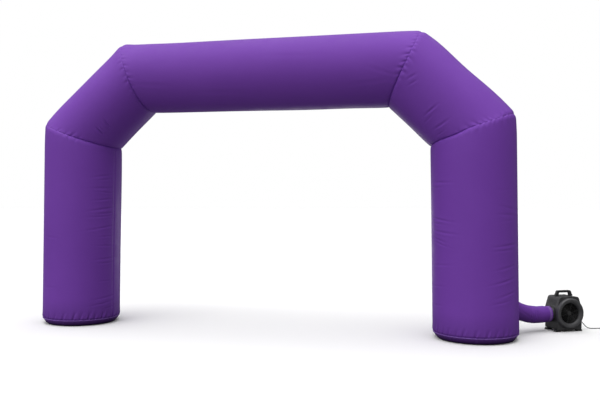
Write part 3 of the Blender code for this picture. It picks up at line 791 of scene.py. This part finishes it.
# puckers the needle left on the front of the knees, a little deeper on the right side
knee_gathers = {
    -1: [(-30, 45, 18, 5, 0.1), (-52, 40, 18, 4, 0.0), (-74, 50, 17, 4.5, -0.1), (-88, 45, 18, 5, 0.1),
         (-97, 60, 18, 6.5, 0.0), (-108, 50, 16, 5, 0.2)]
    + gathers(21, 0.1, LEG_RADIUS, 50, 18, 5, outer_back),
    1: [(-35, 50, 21, 4.5, 0.0), (-47, 65, 23, 6.2, 0.2), (-59, 50, 20, 4.8, -0.1),
        (-66, 65, 21, 6, 0.0), (-73, 40, 18, 4, 0.1), (-81, 65, 23, 6.2, -0.1),
        (-92, 55, 21, 4.8, 0.1), (-104, 45, 20, 3.4, 0.0)]
    + gathers(22, 0.08, LEG_RADIUS, 60, 19, 10, outer_back)}
leg_folds = {-1: left_leg_folds, 1: right_leg_folds}
# the outer corner of the knees: the right one is drawn in, the left one barely
knee_nips = {-1: (-50.0, 18.0, 0.003), 1: (-42.0, 9.0, 0.0065)}
# how far the lapped seam of a leg draws the cloth in, and how wide
LAP_DRAW = 0.005
LAP_WIDTH = 0.01


def leg_relief(side):
    def relief(angle, place, low_gap, high_gap):
        lap = apart(angle, radians(LEG_SEAM)) * LEG_RADIUS
        return (body_folds(angle, place, LEG_RADIUS, leg_folds[side])
                + seam_folds(angle, low_gap, FOOT_SEAM_RADIUS, foot_gathers[side])
                + seam_folds(angle, high_gap, LEG_RADIUS, knee_gathers[side])
                + nip(angle, high_gap, *knee_nips[side])
                - LAP_DRAW * np.exp(-(lap / LAP_WIDTH) ** 2))
    return relief


sides = (("left", -1), ("right", 1))
for side_name, side in sides:
    leg, leg_flat, leg_area = sewn_tube(leg_tube, 124, 270, LEG_SEAM, (0.5, 0.35),
                                        [(-1.0, -0.86), (0.8, 1.0)], leg_relief(side), side)
    settle(leg, f"leg_{side_name}_skin", purple_cloth, (f"leg_{side_name}",))


# ------------------------------------ shoulders
# A sloping tube of the same cloth joins each leg to the beam. Its cloth is drawn in at both mitre
# seams, most at the right side's outer corners, and a few folds run round its inner half.

# round the shoulders, in the lower half of the front
shoulder_folds = {
    -1: [(-127, 332, 9, 120, 21, 13), (-128, 462, 16, 130, 20, 11.5), (-124, 372, 6, 90, 15, 5.5),
         (-136, 352, 12, 100, 14, 4.5), (-132, 930, 8, 160, 14, 4)],
    1: [(-114, 469, -9, 160, 18, 6.6), (-126, 425, -6, 140, 15, 2.6), (-119, 285, -11, 190, 18, 5.6),
        (-127, 225, -8, 140, 14, 2.8), (-99, 896, -18, 100, 19, 4.8),
        (-104.5, 838, -18, 100, 17, 4.4)],
}
# the beam's seams, on the shoulders' side and the beam's side alike
beam_gathers = {
    -1: [(-26, 45, 19, 3.8, 0.0), (-41, 55, 18, 4, 0.1), (-55, 45, 18, 4.4, -0.1),
         (-64, 60, 17, 3.8, 0.1), (-76, 60, 19, 4.8, 0.0), (-88, 45, 18, 3.8, 0.1),
         (-97, 60, 18, 4.6, 0.0), (-110, 45, 18, 3.8, 0.1)]
    + gathers(32, 0.065, BEAM_RADIUS, 50, 16, 6, outer_back),
    1: [(-24, 30, 16, 4, 0.0), (-38, 45, 17, 6, 0.2), (-46, 25, 13, 3, 0.0), (-54, 40, 18, 6.5, -0.1),
        (-61, 30, 13, 4, 0.2), (-68, 55, 18, 7, 0.1), (-78, 65, 19, 8, -0.1), (-84, 35, 13, 4, 0.2),
        (-90, 50, 18, 6, 0.0), (-99, 60, 18, 7.5, 0.2), (-108, 45, 16, 5, 0.1),
        (-118, 35, 15, 3.5, 0.1)]
    + gathers(34, 0.065, BEAM_RADIUS, 55, 18, 11, outer_back),
}
beam_nips = {-1: (-50.0, 30.0, 0.003), 1: (-60.0, 24.0, 0.005)}
# how far round, in radians, the knee's and the beam's puckers sit on the shoulder's side of the seam
KNEE_TURN = 0.05
BEAM_TURN = 0.07


def shoulder_relief(side):
    def relief(angle, place, low_gap, high_gap):
        return (body_folds(angle, place, SHOULDER_RADIUS, shoulder_folds[side])
                + seam_folds(angle + KNEE_TURN, low_gap, SHOULDER_RADIUS, knee_gathers[side])
                + seam_folds(angle + BEAM_TURN, high_gap, SHOULDER_RADIUS, beam_gathers[side])
                + nip(angle, low_gap, *knee_nips[side])
                + nip(angle, high_gap, *beam_nips[side]))
    return relief


for side_name, side in sides:
    shoulder, shoulder_flat, shoulder_area = sewn_tube(
        shoulder_tube, 330, 110, 180.0, (0.0, 0.5), [], shoulder_relief(side), side)
    settle(shoulder, f"shoulder_{side_name}_skin", purple_cloth,
           (f"shoulder_{side_name}",))


# ------------------------------------ beam
# The level tube between the shoulders, bare cloth, rolled from one panel with its lapped seam
# underneath. Short puckers stand along its mitre seams, deeper at the right end.

beam_folds = [(-118, 420, 96, 400, 30, 1.8), (-72, 1300, 88, 600, 35, 1.2),
              (-126, 2200, 90, 600, 35, 1.4), (-110, 3050, 86, 340, 28, 2),
              (-100, 300, 70, 260, 24, 2.2)]
BEAM_SWELL = 0.0045


def beam_relief(angle, place, low_gap, high_gap):
    return (body_folds(angle, place, BEAM_RADIUS, beam_folds)
            + seam_folds(angle, low_gap, BEAM_RADIUS, beam_gathers[1])
            + seam_folds(angle, high_gap, BEAM_RADIUS, beam_gathers[-1])
            + BEAM_SWELL * np.sin(pi * low_gap / (low_gap + high_gap))
            + nip(angle, low_gap, *beam_nips[1]) + nip(angle, high_gap, *beam_nips[-1]))


beam, beam_flat, beam_area = sewn_tube(beam_tube, 150, 180, 180.0, (0.0, 0.65),
                                       [(-1.0, -0.8), (0.8, 1.0)], beam_relief, 1)
settle(beam, "beam_skin", purple_cloth, ("beam",))


# ------------------------------------ feet
# Each leg ends in a round base panel of the same cloth, flat on the ground and drawn up at its
# edge to the seam with the leg. The seam carries a piping: a cord sewn into a strip of tape.

FOOT_FLAT_RADIUS = 0.425
OFF_GROUND = 0.0002
FOOT_EDGE = FOOT_SEAM_RADIUS - FOOT_FLAT_RADIUS
FOOT_LIFT = FOOT_SEAM_Z - FOOT_HEM
base_gathers = gathers(12, 0.046, FOOT_SEAM_RADIUS, 55, 14, 6.5)
base_rings = [(FOOT_SEAM_RADIUS, FOOT_SEAM_Z), (FOOT_SEAM_RADIUS - 0.0005, FOOT_SEAM_Z - 0.004)]
for step in range(12, -1, -1):
    base_rings.append((FOOT_FLAT_RADIUS + FOOT_EDGE * (step / 12) ** 0.65,
                       FOOT_LIFT * step / 12 + OFF_GROUND))
base_rings += [(radius / 100, OFF_GROUND) for radius in (40.5, 38, 33, 26, 18, 10, 4, 0)]
piping_tape = webbing("purple_piping_tape", (0.165, 0.068, 0.34), (0.22, 0.105, 0.41), 420.0)
foot_centres = {side: Vector((side * ground[0] + ARCH_CENTRE[0], ARCH_CENTRE[1], 0.0))
                for _, side in sides}

for side_name, side in sides:
    base = spun(base_rings, 216, capped=False)
    spots = points_of(base.data)
    angle = np.arctan2(spots[:, 1], spots[:, 0])
    reach = np.hypot(spots[:, 0], spots[:, 1])
    gap = np.hypot(FOOT_SEAM_RADIUS - reach, FOOT_SEAM_Z - spots[:, 2])
    across = np.clip((reach - FOOT_FLAT_RADIUS) / FOOT_EDGE, 0.0, 1.0)
    drawn = across * seam_folds(angle * side, gap, FOOT_SEAM_RADIUS, base_gathers)
    spots[:, :2] *= (1.0 + drawn / np.maximum(reach, 0.01))[:, None]
    spots[:, 2] = np.maximum(OFF_GROUND, spots[:, 2] - 0.4 * drawn * across)
    base.data.vertices.foreach_set("co", spots.ravel())
    cloth_maps(base.data, (spots[:, 0], spots[:, 1]), (angle * FOOT_SEAM_RADIUS, gap))
    sew(base)
    settle(base, f"foot_{side_name}_skin", purple_cloth, (f"foot_{side_name}",),
           Matrix.Translation(foot_centres[side]))

# the piping wavers a little, as the needle left it, and its tape's edge shows above the cord
PIPING_RADIUS = 0.005
for side_name, side in sides:
    piping = added(bpy.ops.mesh.primitive_torus_add, major_segments=288, minor_segments=12,
                   major_radius=1.0, minor_radius=0.1)
    chance = random.Random(50 + side)
    waves = [(count, chance.uniform(0.0002, 0.0006), chance.uniform(0.0, 2.0 * pi))
             for count in (7, 13, 22, 31, 44)]
    for vert in piping.data.vertices:
        turn = np.arctan2(vert.co.y, vert.co.x)
        drawn = (hypot(vert.co.x, vert.co.y) - 1.0) * 10.0 * PIPING_RADIUS
        waver = sum(size * sin(count * turn + start) for count, size, start in waves)
        reach = FOOT_SEAM_RADIUS + 0.0003 + PIPING_RADIUS + drawn + waver * 0.6
        height = FOOT_SEAM_Z + vert.co.z * 10.0 * PIPING_RADIUS + waver
        if vert.co.z > 0.04 and drawn < 0.0:
            height += 0.0035
            reach -= 0.0008
        vert.co = (reach * cos(turn), reach * sin(turn), height)
    only(piping)
    shade(60.0)
    settle(piping, f"foot_{side_name}_piping", piping_tape,
           (f"foot_piping_{side_name}",), Matrix.Translation(foot_centres[side]))


# ------------------------------------ air sleeve
# A tube of the same cloth leads the air from the blower into the right leg. It is gathered where
# it is sewn to the leg, bunches up in rings near the blower, and is strapped over the outlet.

SLEEVE_RADIUS = 0.1
SLEEVE_FLARE = 0.03
SLEEVE_FLARE_LENGTH = 0.2
SLEEVE_END_X = -0.205
OUTLET_Z = 0.205
CUFF_RADIUS = 0.0925
STRAP_MIDDLE_X = -0.228
UP = np.array((0.0, 0.0, 1.0))
CUFF_LENGTH = 0.04


def in_arch(x, y, z):
    """A point of the blower's own frame, from the middle of the arch."""
    return np.array(BLOWER @ Vector((x, y, z))) - ARCH_CENTRE


blower_x = unit(in_arch(1.0, 0.0, 0.0) - in_arch(0.0, 0.0, 0.0))
leg_outward = np.array((cos(radians(35.0)), sin(radians(35.0)), 0.0))
sleeve_root = ground + 0.335 * UP + leg_outward * (LEG_RADIUS - 0.03)
sleeve_tip = in_arch(-0.28, 0.0, OUTLET_Z)
handles = (sleeve_root, sleeve_root + leg_outward * 0.2 - UP * 0.08,
           sleeve_tip - blower_x * 0.2 - UP * 0.015, sleeve_tip)
shares = np.linspace(0.0, 1.0, 161)[:, None]
rest = 1.0 - shares
centre_line = (rest ** 3 * handles[0] + 3 * rest ** 2 * shares * handles[1]
               + 3 * rest * shares ** 2 * handles[2] + shares ** 3 * handles[3])
slopes = (rest ** 2 * (handles[1] - handles[0]) + 2 * rest * shares * (handles[2] - handles[1])
          + shares ** 2 * (handles[3] - handles[2]))
straight = np.linspace(0.0, 1.0, 26)[1:, None]
cuff_line = sleeve_tip + straight * (in_arch(SLEEVE_END_X, 0.0, OUTLET_Z) - sleeve_tip)
centre_line = np.vstack((centre_line, cuff_line))
slopes = np.vstack((slopes, np.tile(blower_x, (len(straight), 1))))
slopes /= np.linalg.norm(slopes, axis=1)[:, None]
upward = UP - (slopes @ UP)[:, None] * slopes
upward /= np.linalg.norm(upward, axis=1)[:, None]
sideways = np.cross(slopes, upward)
steps = np.linalg.norm(np.diff(centre_line, axis=0), axis=1)
travel = np.concatenate(([0.0], np.cumsum(steps)))
from_root = np.linalg.norm(centre_line - sleeve_root, axis=1)
to_end = travel[-1] - travel
flare = SLEEVE_FLARE * np.maximum(0.0, 1.0 - from_root / SLEEVE_FLARE_LENGTH) ** 2
drawn_in = np.clip(1.0 - (to_end - CUFF_LENGTH) / 0.055, 0.0, 1.0)
widths = SLEEVE_RADIUS + flare - (SLEEVE_RADIUS - CUFF_RADIUS) * smooth(drawn_in)


def on_sleeve(angle, reached, lift=0.0):
    """Points on the sleeve, by the angle from its top and the distance from its root."""
    middle, top, side = (np.stack([np.interp(reached, travel, line[:, i]) for i in range(3)], axis=1)
                         for line in (centre_line, upward, sideways))
    out = np.interp(reached, travel, widths) + lift
    return middle + (out * np.cos(angle))[:, None] * top + (out * np.sin(angle))[:, None] * side


sleeve = added(bpy.ops.mesh.primitive_grid_add, x_subdivisions=132, y_subdivisions=150, size=2.0)
flat = points_of(sleeve.data)
angle = pi * (flat[:, 0] + 1.0)
# each column starts where it meets the leg's side
starts = np.zeros_like(angle)
for start in np.linspace(0.0, 0.3, 301):
    spots = on_sleeve(angle, np.full_like(angle, start)) - ground
    off_axis = np.linalg.norm(spots - np.outer(spots @ leg_tube.along, leg_tube.along), axis=1)
    starts = np.where(off_axis < LEG_RADIUS + 0.0005, start, starts)
whole = travel[-1]
reached = starts + (flat[:, 1] + 1.0) / 2.0 * (whole - starts)
root_gap = reached - starts
end_gap = whole - reached

ROOT_RADIUS = 0.125
sleeve_gathers = gathers(61, 0.04, ROOT_RADIUS, 60, 11, 6)
cuff_gathers = gathers(62, 0.03, SLEEVE_RADIUS, 50, 8, 4.2)
# rings where the cloth bunches up, then drag lines along it from the leg
sleeve_folds = [
    (10, 385, 4, 300, 9.5, 4.6), (-40, 418, -5, 260, 9, 5.2), (60, 430, 8, 240, 9, 4.4),
    (-10, 452, 3, 300, 9, 5.6), (-95, 405, 6, 220, 9.5, 4.6), (-120, 450, -4, 260, 9, 5),
    (95, 300, 4, 110, 9.5, 7.5), (86, 336, -4, 130, 9.5, 9.5), (98, 372, 3, 130, 9.5, 10),
    (84, 408, -3, 120, 9.5, 8.5), (120, 400, -6, 260, 9.5, 6), (170, 440, 5, 280, 9, 4.8),
    (-60, 350, -10, 200, 11, 3.6), (20, 340, 12, 200, 11, 3), (-150, 360, 8, 220, 11, 3.6),
    (-50, 200, 70, 200, 12, 4), (-15, 160, 84, 180, 12, 3), (-95, 180, 62, 200, 13, 4.4),
    (-130, 210, 96, 220, 13, 4), (40, 190, 100, 220, 13, 2.2), (100, 200, 80, 220, 13, 1.8),
]
lift = (body_folds(angle, reached, SLEEVE_RADIUS, sleeve_folds)
        * np.clip((end_gap - CUFF_LENGTH) / 0.02, 0.0, 1.0)
        + seam_folds(angle, root_gap, ROOT_RADIUS, sleeve_gathers)
        + seam_folds(angle, np.abs(end_gap - CUFF_LENGTH), SLEEVE_RADIUS, cuff_gathers)
        * (end_gap > CUFF_LENGTH))
hem_flare = 0.0022 * smooth(np.clip(1.0 - end_gap / 0.007, 0.0, 1.0)) * (1.0 + 0.5 * np.sin(9.0 * angle))
spots = on_sleeve(angle, reached, lift + hem_flare) + ARCH_CENTRE
sleeve.data.vertices.foreach_set("co", spots.ravel())
around = angle * SLEEVE_RADIUS
cloth_maps(sleeve.data, (around, reached), (around, np.minimum(root_gap, end_gap)))
sew(sleeve)
settle(sleeve, "air_sleeve_skin", purple_cloth, ("air_sleeve",))

STRAP_WIDTH = 0.03


def round_cuff(share, across):
    """Once round the sleeve's cuff, with hook-and-loop tape inside the lapped end."""
    turn = 2.0 * pi * 1.16 * share + radians(200.0)
    lap = 0.0017 * smooth(min(1.0, max(0.0, (share - 0.83) / 0.05)))
    crown = 0.0006 * (1.0 - (2.0 * across) ** 2)
    reach = CUFF_RADIUS + 0.0011 + lap + crown
    return (STRAP_MIDDLE_X + across * STRAP_WIDTH, reach * sin(turn), OUTLET_Z + reach * cos(turn))


purple_webbing = webbing("purple_webbing_strap", (0.195, 0.095, 0.36), (0.265, 0.15, 0.45), 420.0)
settle(tape_strip(120, 6, round_cuff, 0.0014), "cuff_strap", purple_webbing,
       ("sleeve_strap",), BLOWER)


# ------------------------------------ blower case
# The blower's case is moulded in charcoal plastic in two halves, which leaves a fine groove all
# round it. It is round-shouldered, with slots over the motor in both sides and a deep intake well.

HOUSING_DEPTH = 0.25
FRONT = -HOUSING_DEPTH / 2
INTAKE_Z = 0.222
WELL_RADIUS = 0.135
OUTLET_TURN = placed((-0.165, 0.0, OUTLET_Z), -90.0, "Y")


def half_angle(before, here, after):
    """Half the angle between the two sides that meet in a corner."""
    here = Vector(here[:2])
    return (Vector(before[:2]) - here).angle(Vector(after[:2]) - here) / 2.0


def outlined(corners, depth, arc_segments=8):
    """A flat outline of (x, z, corner radius) rows, thickened along Y."""
    piece = added(bpy.ops.mesh.primitive_circle_add, vertices=len(corners), radius=1.0,
                  fill_type="NGON")
    for vert, (x, z, _) in zip(piece.data.vertices, corners):
        vert.co = (x, -depth / 2, z)
    bpy.ops.object.mode_set(mode="EDIT")
    for index, (x, z, radius) in enumerate(corners):
        half = half_angle(corners[index - 1], corners[index], corners[(index + 1) % len(corners)])
        choose(piece, "verts", lambda vert: hypot(vert.co.x - x, vert.co.z - z) < 0.00001)
        bpy.ops.mesh.bevel(offset=radius / tan(half), offset_type="ABSOLUTE", affect="VERTICES",
                           segments=arc_segments, profile=0.5)
    bpy.ops.mesh.select_all(action="SELECT")
    bpy.ops.mesh.extrude_region_move(TRANSFORM_OT_translate={"value": (0.0, depth, 0.0)})
    bpy.ops.mesh.select_all(action="SELECT")
    bpy.ops.mesh.normals_make_consistent(inside=False)
    bpy.ops.object.mode_set(mode="OBJECT")
    return piece


def carve(piece, cutter):
    """Cut one piece out of another, and throw the cutter away."""
    only(piece)
    knife = piece.modifiers.new("knife", "BOOLEAN")
    knife.object = cutter
    knife.solver = "EXACT"
    bpy.ops.object.modifier_apply(modifier="knife")
    bpy.data.objects.remove(cutter, do_unlink=True)


def eased(offset):
    bpy.ops.mesh.bevel(offset=offset, segments=2, affect="EDGES")


def block(width, depth, height, ease):
    """A small block with eased edges."""
    piece = added(bpy.ops.mesh.primitive_cube_add, size=1.0)
    piece.data.transform(Matrix.Diagonal((width, depth, height, 1.0)))
    edit_all()
    eased(ease)
    bpy.ops.object.mode_set(mode="OBJECT")
    return piece


def joined(parts):
    bpy.ops.object.select_all(action="DESELECT")
    for part in parts:
        part.select_set(True)
    bpy.context.view_layer.objects.active = parts[0]
    bpy.ops.object.join()
    return parts[0]


half_case = [(0.126, 0.42, 0.035), (0.184, 0.24, 0.2), (0.17, 0.15, 0.08),
             (0.17, 0.024, 0.018)]
case_corners = half_case + [(-x, z, radius) for x, z, radius in reversed(half_case)]
case = outlined(case_corners, HOUSING_DEPTH)

# the groove between the halves
GROOVE_Y = 0.03
only(case)
edit_all()
bpy.ops.mesh.bisect(plane_co=(0.0, GROOVE_Y, 0.0), plane_no=(0.0, 1.0, 0.0))
eased(0.0018)
choose(case, "verts", lambda vert: abs(vert.co.y - GROOVE_Y) < 0.00005)
bpy.ops.transform.shrink_fatten(value=-0.0022)
bpy.ops.object.mode_set(mode="OBJECT")

well = spun([(WELL_RADIUS, -0.04), (WELL_RADIUS, 0.09), (0.0, 0.09)], 96)
well.data.transform(placed((0.0, FRONT, INTAKE_Z), -90.0, "X"))
carve(case, well)
pocket = spun([(0.093, 0.0), (0.093, 0.06), (0.0, 0.06)], 72)
pocket.data.transform(OUTLET_TURN)
carve(case, pocket)

# slots in the sloping part of both sides
SLOT_COUNT = 13
SLOT_PITCH = 0.013
slots = copies_of(block(0.008, 0.0045, 0.078, 0.0018), 2 * SLOT_COUNT)
for index, slot in enumerate(slots):
    side = -1 if index < SLOT_COUNT else 1
    slot.data.transform(placed((side * 0.1506, -0.078 + SLOT_PITCH * (index % SLOT_COUNT), 0.349),
                               side * -17.9, "Y"))
carve(case, joined(slots))
only(case)
edit_all()
heal()
shade(32.0)

case_plastic = moulded("charcoal_case", (0.036, 0.036, 0.038), (0.058, 0.058, 0.06), 0.38,
                       700.0, 0.0005)
# painted highlight: the ring's tone is lighter than the case's, though both are the same charcoal plastic,
# to stand for the highlight on its edge
ring_plastic_with_painted_highlight = moulded("charcoal_ring_painted_highlight", (0.056, 0.056, 0.06), (0.088, 0.088, 0.092), 0.38,
                       700.0, 0.0005)
black_plastic = moulded("black_moulding", (0.018, 0.018, 0.019), (0.034, 0.034, 0.036), 0.42,
                        900.0, 0.0003)


def painted_intake_shade(finish, inner, outer, deepest):
    """Paint shade into a moulding inside the intake, where hardly any light is left: its tone goes near
    black and its gloss dies away, from the outer radius to the inner one, as far in as the deepest point."""
    mouth = BLOWER @ Vector((0.0, FRONT, INTAKE_Z))
    inward = BLOWER.to_3x3() @ Vector((0.0, 1.0, 0.0))
    from_mouth = finish.vectors("SUBTRACT", "Vector", finish.place, mouth)
    off_axis = finish.vectors("LENGTH", "Value",
                              finish.vectors("CROSS_PRODUCT", "Vector", from_mouth, inward))
    depth_in = finish.vectors("DOT_PRODUCT", "Value", from_mouth, inward)
    between = finish.maths("COMPARE", depth_in, 0.001 + deepest / 2, abs(deepest) / 2)
    inside = finish.maths("MULTIPLY", finish.remap(off_axis, inner, outer, 1.0, 0.0), between)
    tone, gloss = (finish.shader.inputs[name].links[0].from_socket
                   for name in ("Base Color", "Roughness"))
    finish.wear(Base_Color=finish.mix(inside, tone, (0.002, 0.002, 0.002)),
                Roughness=finish.maths("MAXIMUM", gloss, inside))


# painted shade: the case goes near black and loses its gloss inside the intake well
painted_intake_shade(case_plastic, WELL_RADIUS + 0.0005, WELL_RADIUS + 0.001, 0.093)
settle(case, "blower_case", case_plastic, ("blower_housing",), BLOWER)


# ------------------------------------ intake
# A bell-mouthed ring of the same plastic is screwed over the well, stepped inside, and holds a
# guard of welded black rings, spokes and a domed hub that keeps fingers out.

BEZEL_RADIUS = 0.185
BEZEL_DEPTH = 0.036
THROAT_RADIUS = 0.122
nose = (BEZEL_RADIUS + THROAT_RADIUS) / 2 + 0.012
bezel_rings = [(THROAT_RADIUS, 0.0), (BEZEL_RADIUS, 0.0)]
for step in range(1, 9):
    turn = radians(90.0) * step / 8
    bezel_rings.append((nose + (BEZEL_RADIUS - nose) * cos(turn), BEZEL_DEPTH * sin(turn)))
for high, low in ((80.0, 64.0), (60.0, 46.0), (42.0, 28.0)):
    for slope, step_in in ((high, 0.0), (low, 0.0), (low - 0.8, 0.0024)):
        turn = radians(slope)
        bezel_rings.append((THROAT_RADIUS + (nose - THROAT_RADIUS) * (1.0 - cos(turn)),
                            (BEZEL_DEPTH - 0.001) * sin(turn) - step_in))
bezel_rings += [(THROAT_RADIUS + 0.0026, 0.01), (THROAT_RADIUS, 0.006), (THROAT_RADIUS, 0.0)]
# painted shade: the ring goes near black and loses its gloss at its throat
painted_intake_shade(ring_plastic_with_painted_highlight, THROAT_RADIUS - 0.005, THROAT_RADIUS + 0.004, -BEZEL_DEPTH - 0.002)
settle(spun(bezel_rings, 128), "intake_ring", ring_plastic_with_painted_highlight,
       ("intake_bezel",), BLOWER @ placed((0.0, FRONT - 0.0003, INTAKE_Z), 90.0, "X"))

GUARD_RADIUS = 0.132
HUB_RADIUS = 0.028
RING_COUNT = 8
SPOKE_ENDS = (0.024, GUARD_RADIUS - 0.003)
guard_parts = [spun([(HUB_RADIUS, 0.0005), (HUB_RADIUS, 0.0042), (0.0262, 0.0056), (0.018, 0.0066),
                     (0.008, 0.007), (0.0, 0.007)], 48)]
for index in range(1, RING_COUNT + 1):
    radius = HUB_RADIUS + (GUARD_RADIUS - 0.002 - HUB_RADIUS) * index / RING_COUNT
    bar = 0.0019 if index == RING_COUNT else 0.0012
    guard_parts.append(spun([(radius - bar, 0.001), (radius + bar, 0.001), (radius + bar, 0.0034),
                             (radius, 0.0044), (radius - bar, 0.0034), (radius - bar, 0.001)], 96))
spokes = copies_of(block(SPOKE_ENDS[1] - SPOKE_ENDS[0], 0.0048, 0.0034, 0.0011), 6)
for index, spoke in enumerate(spokes):
    spoke.data.transform(Matrix.Rotation(radians(15.0 + 60.0 * index), 4, "Z")
                         @ Matrix.Translation((sum(SPOKE_ENDS) / 2, 0.0, 0.0028)))
guard = joined(guard_parts + spokes)
shade(40.0)
settle(guard, "finger_guard", black_plastic, ("intake_guard",),
       BLOWER @ placed((0.0, FRONT + 0.0055, INTAKE_Z), 90.0, "X"))


# ------------------------------------ outlet, handle and feet
# The outlet is a black plastic pipe with a bead at its tip, the handle a bar on two sloping posts
# The outlet is a black plastic pipe with a bead at its tip, the handle a bar on two sloping posts
# with a finger groove underneath, and the four feet are black rubber pads with a groove round them.

outlet_rings = [(0.0862, 0.0005), (0.09, 0.0005), (0.09, 0.016), (0.089, 0.018),
                (0.089, 0.097), (0.09, 0.1), (0.0902, 0.104), (0.0898, 0.108),
                (0.0885, 0.11), (0.0866, 0.109), (0.0862, 0.106), (0.0862, 0.0005)]
settle(spun(outlet_rings, 96), "outlet_pipe", black_plastic, ("blower_outlet",),
       BLOWER @ OUTLET_TURN)

HANDLE_DEPTH = 0.036
handle_corners = [(0.121, 0.4203, 0.003), (0.089, 0.488, 0.018), (-0.089, 0.488, 0.018),
                  (-0.121, 0.4203, 0.003), (-0.077, 0.4203, 0.003), (-0.07, 0.462, 0.008),
                  (0.07, 0.462, 0.008), (0.077, 0.4203, 0.003)]
handle = outlined(handle_corners, HANDLE_DEPTH, 4)
only(handle)
shade(40.0)
settle(handle, "carry_handle", black_plastic, ("blower_handle",), BLOWER)

# a pad narrows upwards, with a groove round it and its top and bottom edges eased
PAD_SIZE = (0.075, 0.06, 0.0237)
pad = added(bpy.ops.mesh.primitive_cube_add, size=1.0)
pad.data.transform(Matrix.Translation((0.0, 0.0, PAD_SIZE[2] / 2)) @ Matrix.Diagonal((*PAD_SIZE, 1.0)))
bpy.ops.object.mode_set(mode="EDIT")
for height in (0.006, 0.0075, 0.0105, 0.012):
    bpy.ops.mesh.select_all(action="SELECT")
    bpy.ops.mesh.bisect(plane_co=(0.0, 0.0, height), plane_no=(0.0, 0.0, 1.0))
bpy.ops.object.mode_set(mode="OBJECT")
for vert in pad.data.vertices:
    inset = 0.052 if 0.0066 < vert.co.z < 0.0114 else 0.0
    taper = 1.0 - 0.2 * vert.co.z / PAD_SIZE[2] - inset
    vert.co.x *= taper
    vert.co.y *= taper
bpy.ops.object.mode_set(mode="EDIT")
choose(pad, "edges", lambda edge: spans(edge, 2) < 0.0001
       and not 0.0001 <= edge.verts[0].co.z <= PAD_SIZE[2] - 0.0007)
eased(0.0022)
bpy.ops.object.mode_set(mode="OBJECT")
shade(40.0)
corner_names = (("front_left", -1, -1), ("front_right", 1, -1), ("back_left", -1, 1), ("back_right", 1, 1))
for pad, (name, x, y) in zip(copies_of(pad, 4), corner_names):
    settle(pad, f"rubber_foot_{name}", black_rubber, (f"blower_foot_{name}",),
           BLOWER @ Matrix.Translation((x * 0.147, y * 0.092, 0.0)))
